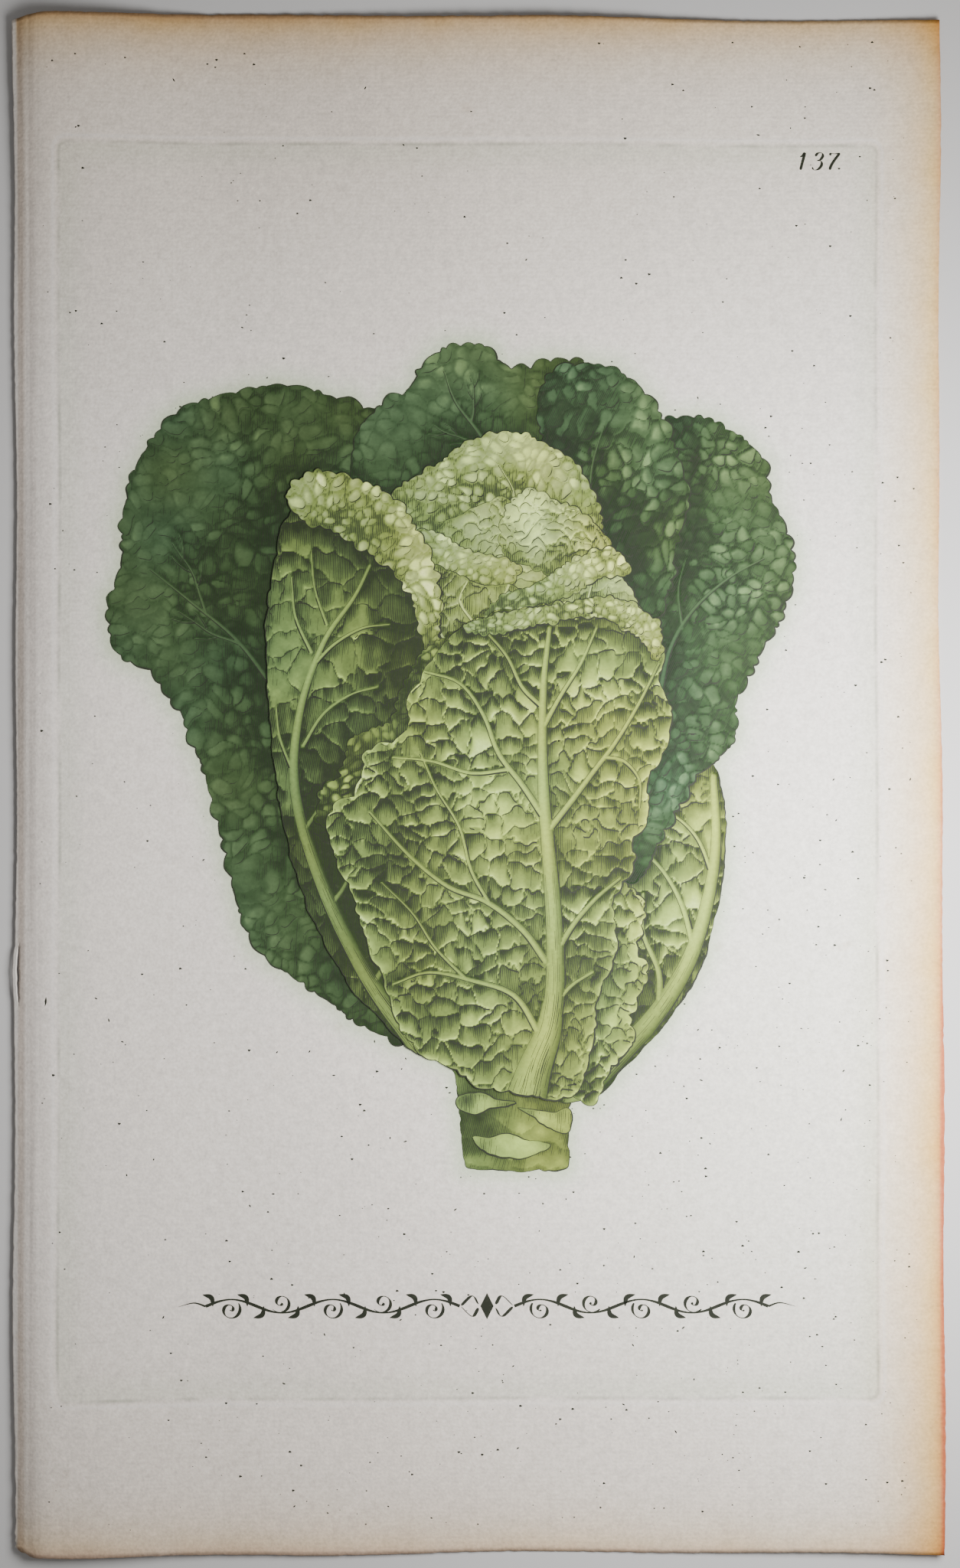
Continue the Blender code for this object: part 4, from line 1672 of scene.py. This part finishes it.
def spiral(middle, start, turns, size, mirror):
    """A curl that winds in from its rim to its middle."""
    angle = np.linspace(0, turns * 2 * math.pi, 40)
    reach = size * (1 - angle / angle[-1]) ** 0.8
    swing = start + mirror * angle
    return np.column_stack([middle[0] + reach * np.cos(swing), middle[1] + reach * np.sin(swing)])


def on_rule(side, points):
    """Points given from the rule's middle outwards, laid to its right or left."""
    return np.array(RULE_MIDDLE) + np.array(points, float) * (side, 1)


def swelled_rule(paper, material):
    """A printer's ornament: a swelled rule in two halves, with scrolls along it and a lozenge between."""
    strokes = Strokes()
    for side in (-1, 1):
        draw_vine(strokes, side)
    lozenge = even_steps(on_rule(1, [(0, LOZENGE), (0, -LOZENGE)]), 0.1)
    strokes.draw(lozenge, LOZENGE * (1 - np.abs(np.linspace(-1, 1, len(lozenge)))))
    for side in (-1, 1):
        for turn in (-1, 1):
            points = [(2.2, turn * 0.5), (3.8, turn * 2.6), (6.6, turn * 0.2)]
            arc = smooth_path(on_rule(side, points), 0.2)
            strokes.draw(arc, pen(arc, PEN_WIDTH, FINE_LINE))
    return strokes.piece("swelled_rule", 1, paper, material)


def draw_vine(strokes, side):
    """One half of the rule: a wavy vine with a scroll and two leaflets at each bend, and its tail."""
    end = RULE_GAP + RULE_SCROLLS * RULE_PITCH
    run = np.linspace(RULE_GAP, end, 300)
    wave = 1.7 * np.sin((run - RULE_GAP) * math.pi / RULE_PITCH)
    strokes.draw(on_rule(side, np.column_stack([run, wave])), 0.46 + 0.36 * np.cos(wave))
    for number in range(RULE_SCROLLS):
        way = 1 if number % 2 == 0 else -1
        middle = on_rule(side, (RULE_GAP + (number + 0.52) * RULE_PITCH, -way * 0.9))
        curl = spiral(middle, math.pi / 2 * way + side * 0.9, 1.35, 2.7, side * way)
        strokes.draw(curl, pen(curl, PEN_WIDTH, FINE_LINE))
        for leaflet in (0.18, 0.86):
            foot = RULE_GAP + (number + leaflet) * RULE_PITCH
            points = [(foot, 0), (foot + 0.4, way * 2.2), (foot + 2.6, way * 3.0)]
            blade = smooth_path(on_rule(side, points), 0.2)
            strokes.draw(blade, 1.25 * np.sin(np.pi * np.linspace(0.04, 0.97, len(blade))))
    tail = smooth_path(on_rule(side, [(end, 0), (end + 3, 0.9), (end + 7, 0)]), 0.2)
    strokes.draw(tail, np.linspace(0.55, 0.06, len(tail)))


# The strokes of plain engraved figures, each in a box one high
FIGURES = {
    "1": [[(0.10, 0.76), (0.24, 0.84), (0.32, 0.98), (0.30, 0.50), (0.28, 0.00)]],
    "3": [
        [(0.08, 0.80), (0.20, 0.97), (0.42, 0.98), (0.52, 0.80), (0.42, 0.60), (0.24, 0.54)],
        [(0.24, 0.54), (0.48, 0.50), (0.56, 0.28), (0.42, 0.04), (0.18, 0.00), (0.04, 0.16)],
    ],
    "7": [
        [(0.04, 0.84), (0.08, 0.95), (0.30, 0.93), (0.58, 0.97)],
        [(0.58, 0.97), (0.38, 0.60), (0.24, 0.26), (0.20, 0.00)],
    ],
}


def plate_number(paper, material):
    """A generic plate number in plain sloping figures, with a point after it."""
    strokes = Strokes()
    for place, figure in enumerate(NUMBER):
        for points in FIGURES[figure]:
            shape = np.array(points) * NUMBER_HEIGHT
            shape[:, 0] += NUMBER_SLOPE * shape[:, 1] + place * NUMBER_PITCH
            path = smooth_path(shape + NUMBER_PLACE, 0.12)
            strokes.draw(path, pen(path, NUMBER_WIDTH, HAIRLINE))
    after = np.array(NUMBER_PLACE) + (len(NUMBER) * NUMBER_PITCH - 0.6, 0.3)
    strokes.dot(after, POINT_WIDTH, 0.4)
    return strokes.piece("plate_number", 1, paper, material)


def flecks(paper, material):
    """Specks of ink and dirt scattered over the leaf, thicker towards the foot's right corner."""
    strokes = Strokes()
    reach = np.array(FLECK_REACH)
    chance = np.random.default_rng(FLECK_SEED)
    for _ in range(FLECKS):
        spot = chance.uniform(-reach, reach)
        crowd = 0.30 + 0.70 * ease((spot[0] - 0.6 * spot[1] + 60) / 220)
        if chance.uniform() > crowd:
            continue
        size = 0.28 + 0.56 * chance.uniform() ** 2.2
        turn = chance.uniform(0, math.pi)
        if chance.uniform() < DASH_SHARE:
            end = spot + chance.uniform(0.35, 1.0) * np.array([math.cos(turn), math.sin(turn)])
            dash = even_steps(np.array([spot, end]), 0.12)
            strokes.draw(dash, 0.10 + 0.26 * np.sin(np.linspace(0, np.pi, len(dash))))
        else:
            strokes.dot(spot, size, turn)
    fibre = smooth_path(FIBRE, 0.12)
    strokes.draw(fibre, 0.15 + 0.45 * np.sin(np.linspace(0, np.pi, len(fibre))))
    return strokes.piece("ink_flecks", 0.8, paper, material)


# ---- Operators: one for each group of pieces ----

MATERIALS = {}


@cache
def worked_picture():
    """Where every pictured leaf lies, worked out only once."""
    return Picture()


def made(make, settings):
    """The material that a function makes, made only the first time."""
    if make not in MATERIALS:
        MATERIALS[make] = make(settings)
    return MATERIALS[make]


def print_leaves(context, leaves):
    """Lays down the wash and the ink of pictured leaves, each above those behind it."""
    paper, setting = context.scene.print_paper, context.scene.print_picture
    for leaf in leaves:
        level = 1 + 2 * PLANT.index(leaf)
        worked = Worked(worked_picture(), leaf, setting.wash_step / MM)
        colours = [tuple(getattr(setting, colour)) for colour in leaf.look.colours]
        worked.wash(level, paper, colours, made(watercolour, paper))
        worked.inked(level + 1, paper, setting, made(printing_ink, setting))


class PRINT_OT_paper(bpy.types.Operator):
    """Lay down the leaf of laid paper"""

    bl_idname = "print.paper"
    bl_label = "Paper leaf"

    def execute(self, context):
        paper = context.scene.print_paper
        leaf = paper_leaf(paper, worked_picture(), made(rag_paper, paper))
        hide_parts("paper_leaf")
        return {"FINISHED"}


class PRINT_OT_outer_leaves(bpy.types.Operator):
    """Print the stem and the dark blistered outer leaves"""

    bl_idname = "print.outer_leaves"
    bl_label = "Stem and outer leaves"

    def execute(self, context):
        print_leaves(context, STEM + OUTER_BACK + OUTER_RIGHT)
        return {"FINISHED"}


class PRINT_OT_head_leaves(bpy.types.Operator):
    """Print the pale leaves of the head"""

    bl_idname = "print.head_leaves"
    bl_label = "Head"

    def execute(self, context):
        print_leaves(context, HEART)
        return {"FINISHED"}


class PRINT_OT_wrapper_leaves(bpy.types.Operator):
    """Print the netted leaves that wrap the head, with their rolled rims"""

    bl_idname = "print.wrapper_leaves"
    bl_label = "Wrapper leaves"

    def execute(self, context):
        print_leaves(context, RIGHT_WRAPPER + LEFT_WRAPPER + FRONT_WRAPPER)
        return {"FINISHED"}


class PRINT_OT_ornaments(bpy.types.Operator):
    """Print the swelled rule and the plate number, and scatter the flecks"""

    bl_idname = "print.ornaments"
    bl_label = "Rule, number and flecks"

    def execute(self, context):
        paper = context.scene.print_paper
        ink = made(printing_ink, context.scene.print_picture)
        swelled_rule(paper, ink)
        plate_number(paper, ink)
        flecks(paper, ink)
        return {"FINISHED"}


class PRINT_OT_stage(bpy.types.Operator):
    """Set the floor, the lights and the camera"""

    bl_idname = "print.stage"
    bl_label = "Stage"

    def execute(self, context):
        stage = context.scene.print_stage
        floor_under(stage)
        softbox(stage)
        even_fill(stage)
        look_down(stage)
        return {"FINISHED"}


FLOOR_WIDTH = 3.2
SOFTBOX_PLACE = (0.138, -0.026, 0.19)
SOFTBOX_AIM = (0.04, -0.01, 0.0)
SOFTBOX_WIDTH = 0.18
FILL_COLOUR = (1.0, 0.985, 0.97, 1)
CAMERA_PLACE = (0.0002, 0.0002)
CAMERA_LENS = 50


def stand(name, data, place):
    """An object with this mesh, lamp or camera, at a place in the scene."""
    thing = bpy.data.objects.new(name, data)
    thing.location = place
    bpy.context.scene.collection.objects.link(thing)
    return thing


def floor_under(stage):
    """A wide plaster floor that the leaf lies on."""
    mesh = bpy.data.meshes.new("floor")
    half = FLOOR_WIDTH / 2
    corners = [(-half, -half, 0), (half, -half, 0), (half, half, 0), (-half, half, 0)]
    mesh.from_pydata(corners, [], [(0, 1, 2, 3)])
    mesh.materials.append(plaster(stage))
    floor = stand("floor", mesh, (0, 0, CAD_BOX[0][2]))
    floor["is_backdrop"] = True


def softbox(stage):
    """A square lamp that the camera doesn't see, turned towards its aim."""
    lamp = bpy.data.lights.new("key_softbox", "AREA")
    lamp.energy = stage.lamp_power
    lamp.shape = "SQUARE"
    lamp.size = SOFTBOX_WIDTH
    box = stand("key_softbox", lamp, SOFTBOX_PLACE)
    down = Vector(SOFTBOX_AIM) - Vector(SOFTBOX_PLACE)
    box.rotation_euler = down.to_track_quat("-Z", "Y").to_euler()
    box.visible_camera = False


def even_fill(stage):
    """A faintly warm light from all round."""
    world = bpy.data.worlds.new("even_fill")
    world.use_nodes = True
    sky = world.node_tree.nodes["Background"]
    sky.inputs["Color"].default_value = FILL_COLOUR
    sky.inputs["Strength"].default_value = stage.fill
    bpy.context.scene.world = world


def look_down(stage):
    """The camera straight above the leaf, a hair off its middle."""
    lens = bpy.data.cameras.new("camera")
    lens.lens = CAMERA_LENS
    bpy.context.scene.camera = stand("camera", lens, (*CAMERA_PLACE, stage.camera_height))


class PRINT_PT_panel(bpy.types.Panel):
    """The print's operators and settings"""

    bl_label = "Botanical print"
    bl_space_type = "VIEW_3D"
    bl_region_type = "UI"
    bl_category = "Print"

    def draw(self, context):
        for operator in OPERATORS:
            self.layout.operator(operator.bl_idname)
        for name in SETTINGS:
            group = getattr(context.scene, name)
            box = self.layout.box()
            for setting in group.bl_rna.properties:
                if not setting.is_readonly and setting.identifier != "name":
                    box.prop(group, setting.identifier)


SETTINGS = {
    "print_paper": PaperSettings, "print_picture": PictureSettings, "print_stage": StageSettings,
}
OPERATORS = [
    PRINT_OT_paper, PRINT_OT_outer_leaves, PRINT_OT_head_leaves, PRINT_OT_wrapper_leaves,
    PRINT_OT_ornaments, PRINT_OT_stage,
]


def register():
    for kind in [*SETTINGS.values(), *OPERATORS, PRINT_PT_panel]:
        bpy.utils.register_class(kind)
    for name, kind in SETTINGS.items():
        setattr(bpy.types.Scene, name, PointerProperty(type=kind))


def unregister():
    for name in SETTINGS:
        delattr(bpy.types.Scene, name)
    for kind in reversed([*SETTINGS.values(), *OPERATORS, PRINT_PT_panel]):
        bpy.utils.unregister_class(kind)


def main():
    register()
    bpy.ops.print.paper()
    bpy.ops.print.outer_leaves()
    bpy.ops.print.head_leaves()
    bpy.ops.print.wrapper_leaves()
    bpy.ops.print.ornaments()
    bpy.ops.print.stage()
    boxes = {"cad": CAD_BOX, "visual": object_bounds()}
    plain = {name: [list(map(float, corner)) for corner in box] for name, box in boxes.items()}


if __name__ == "__main__":
    main()
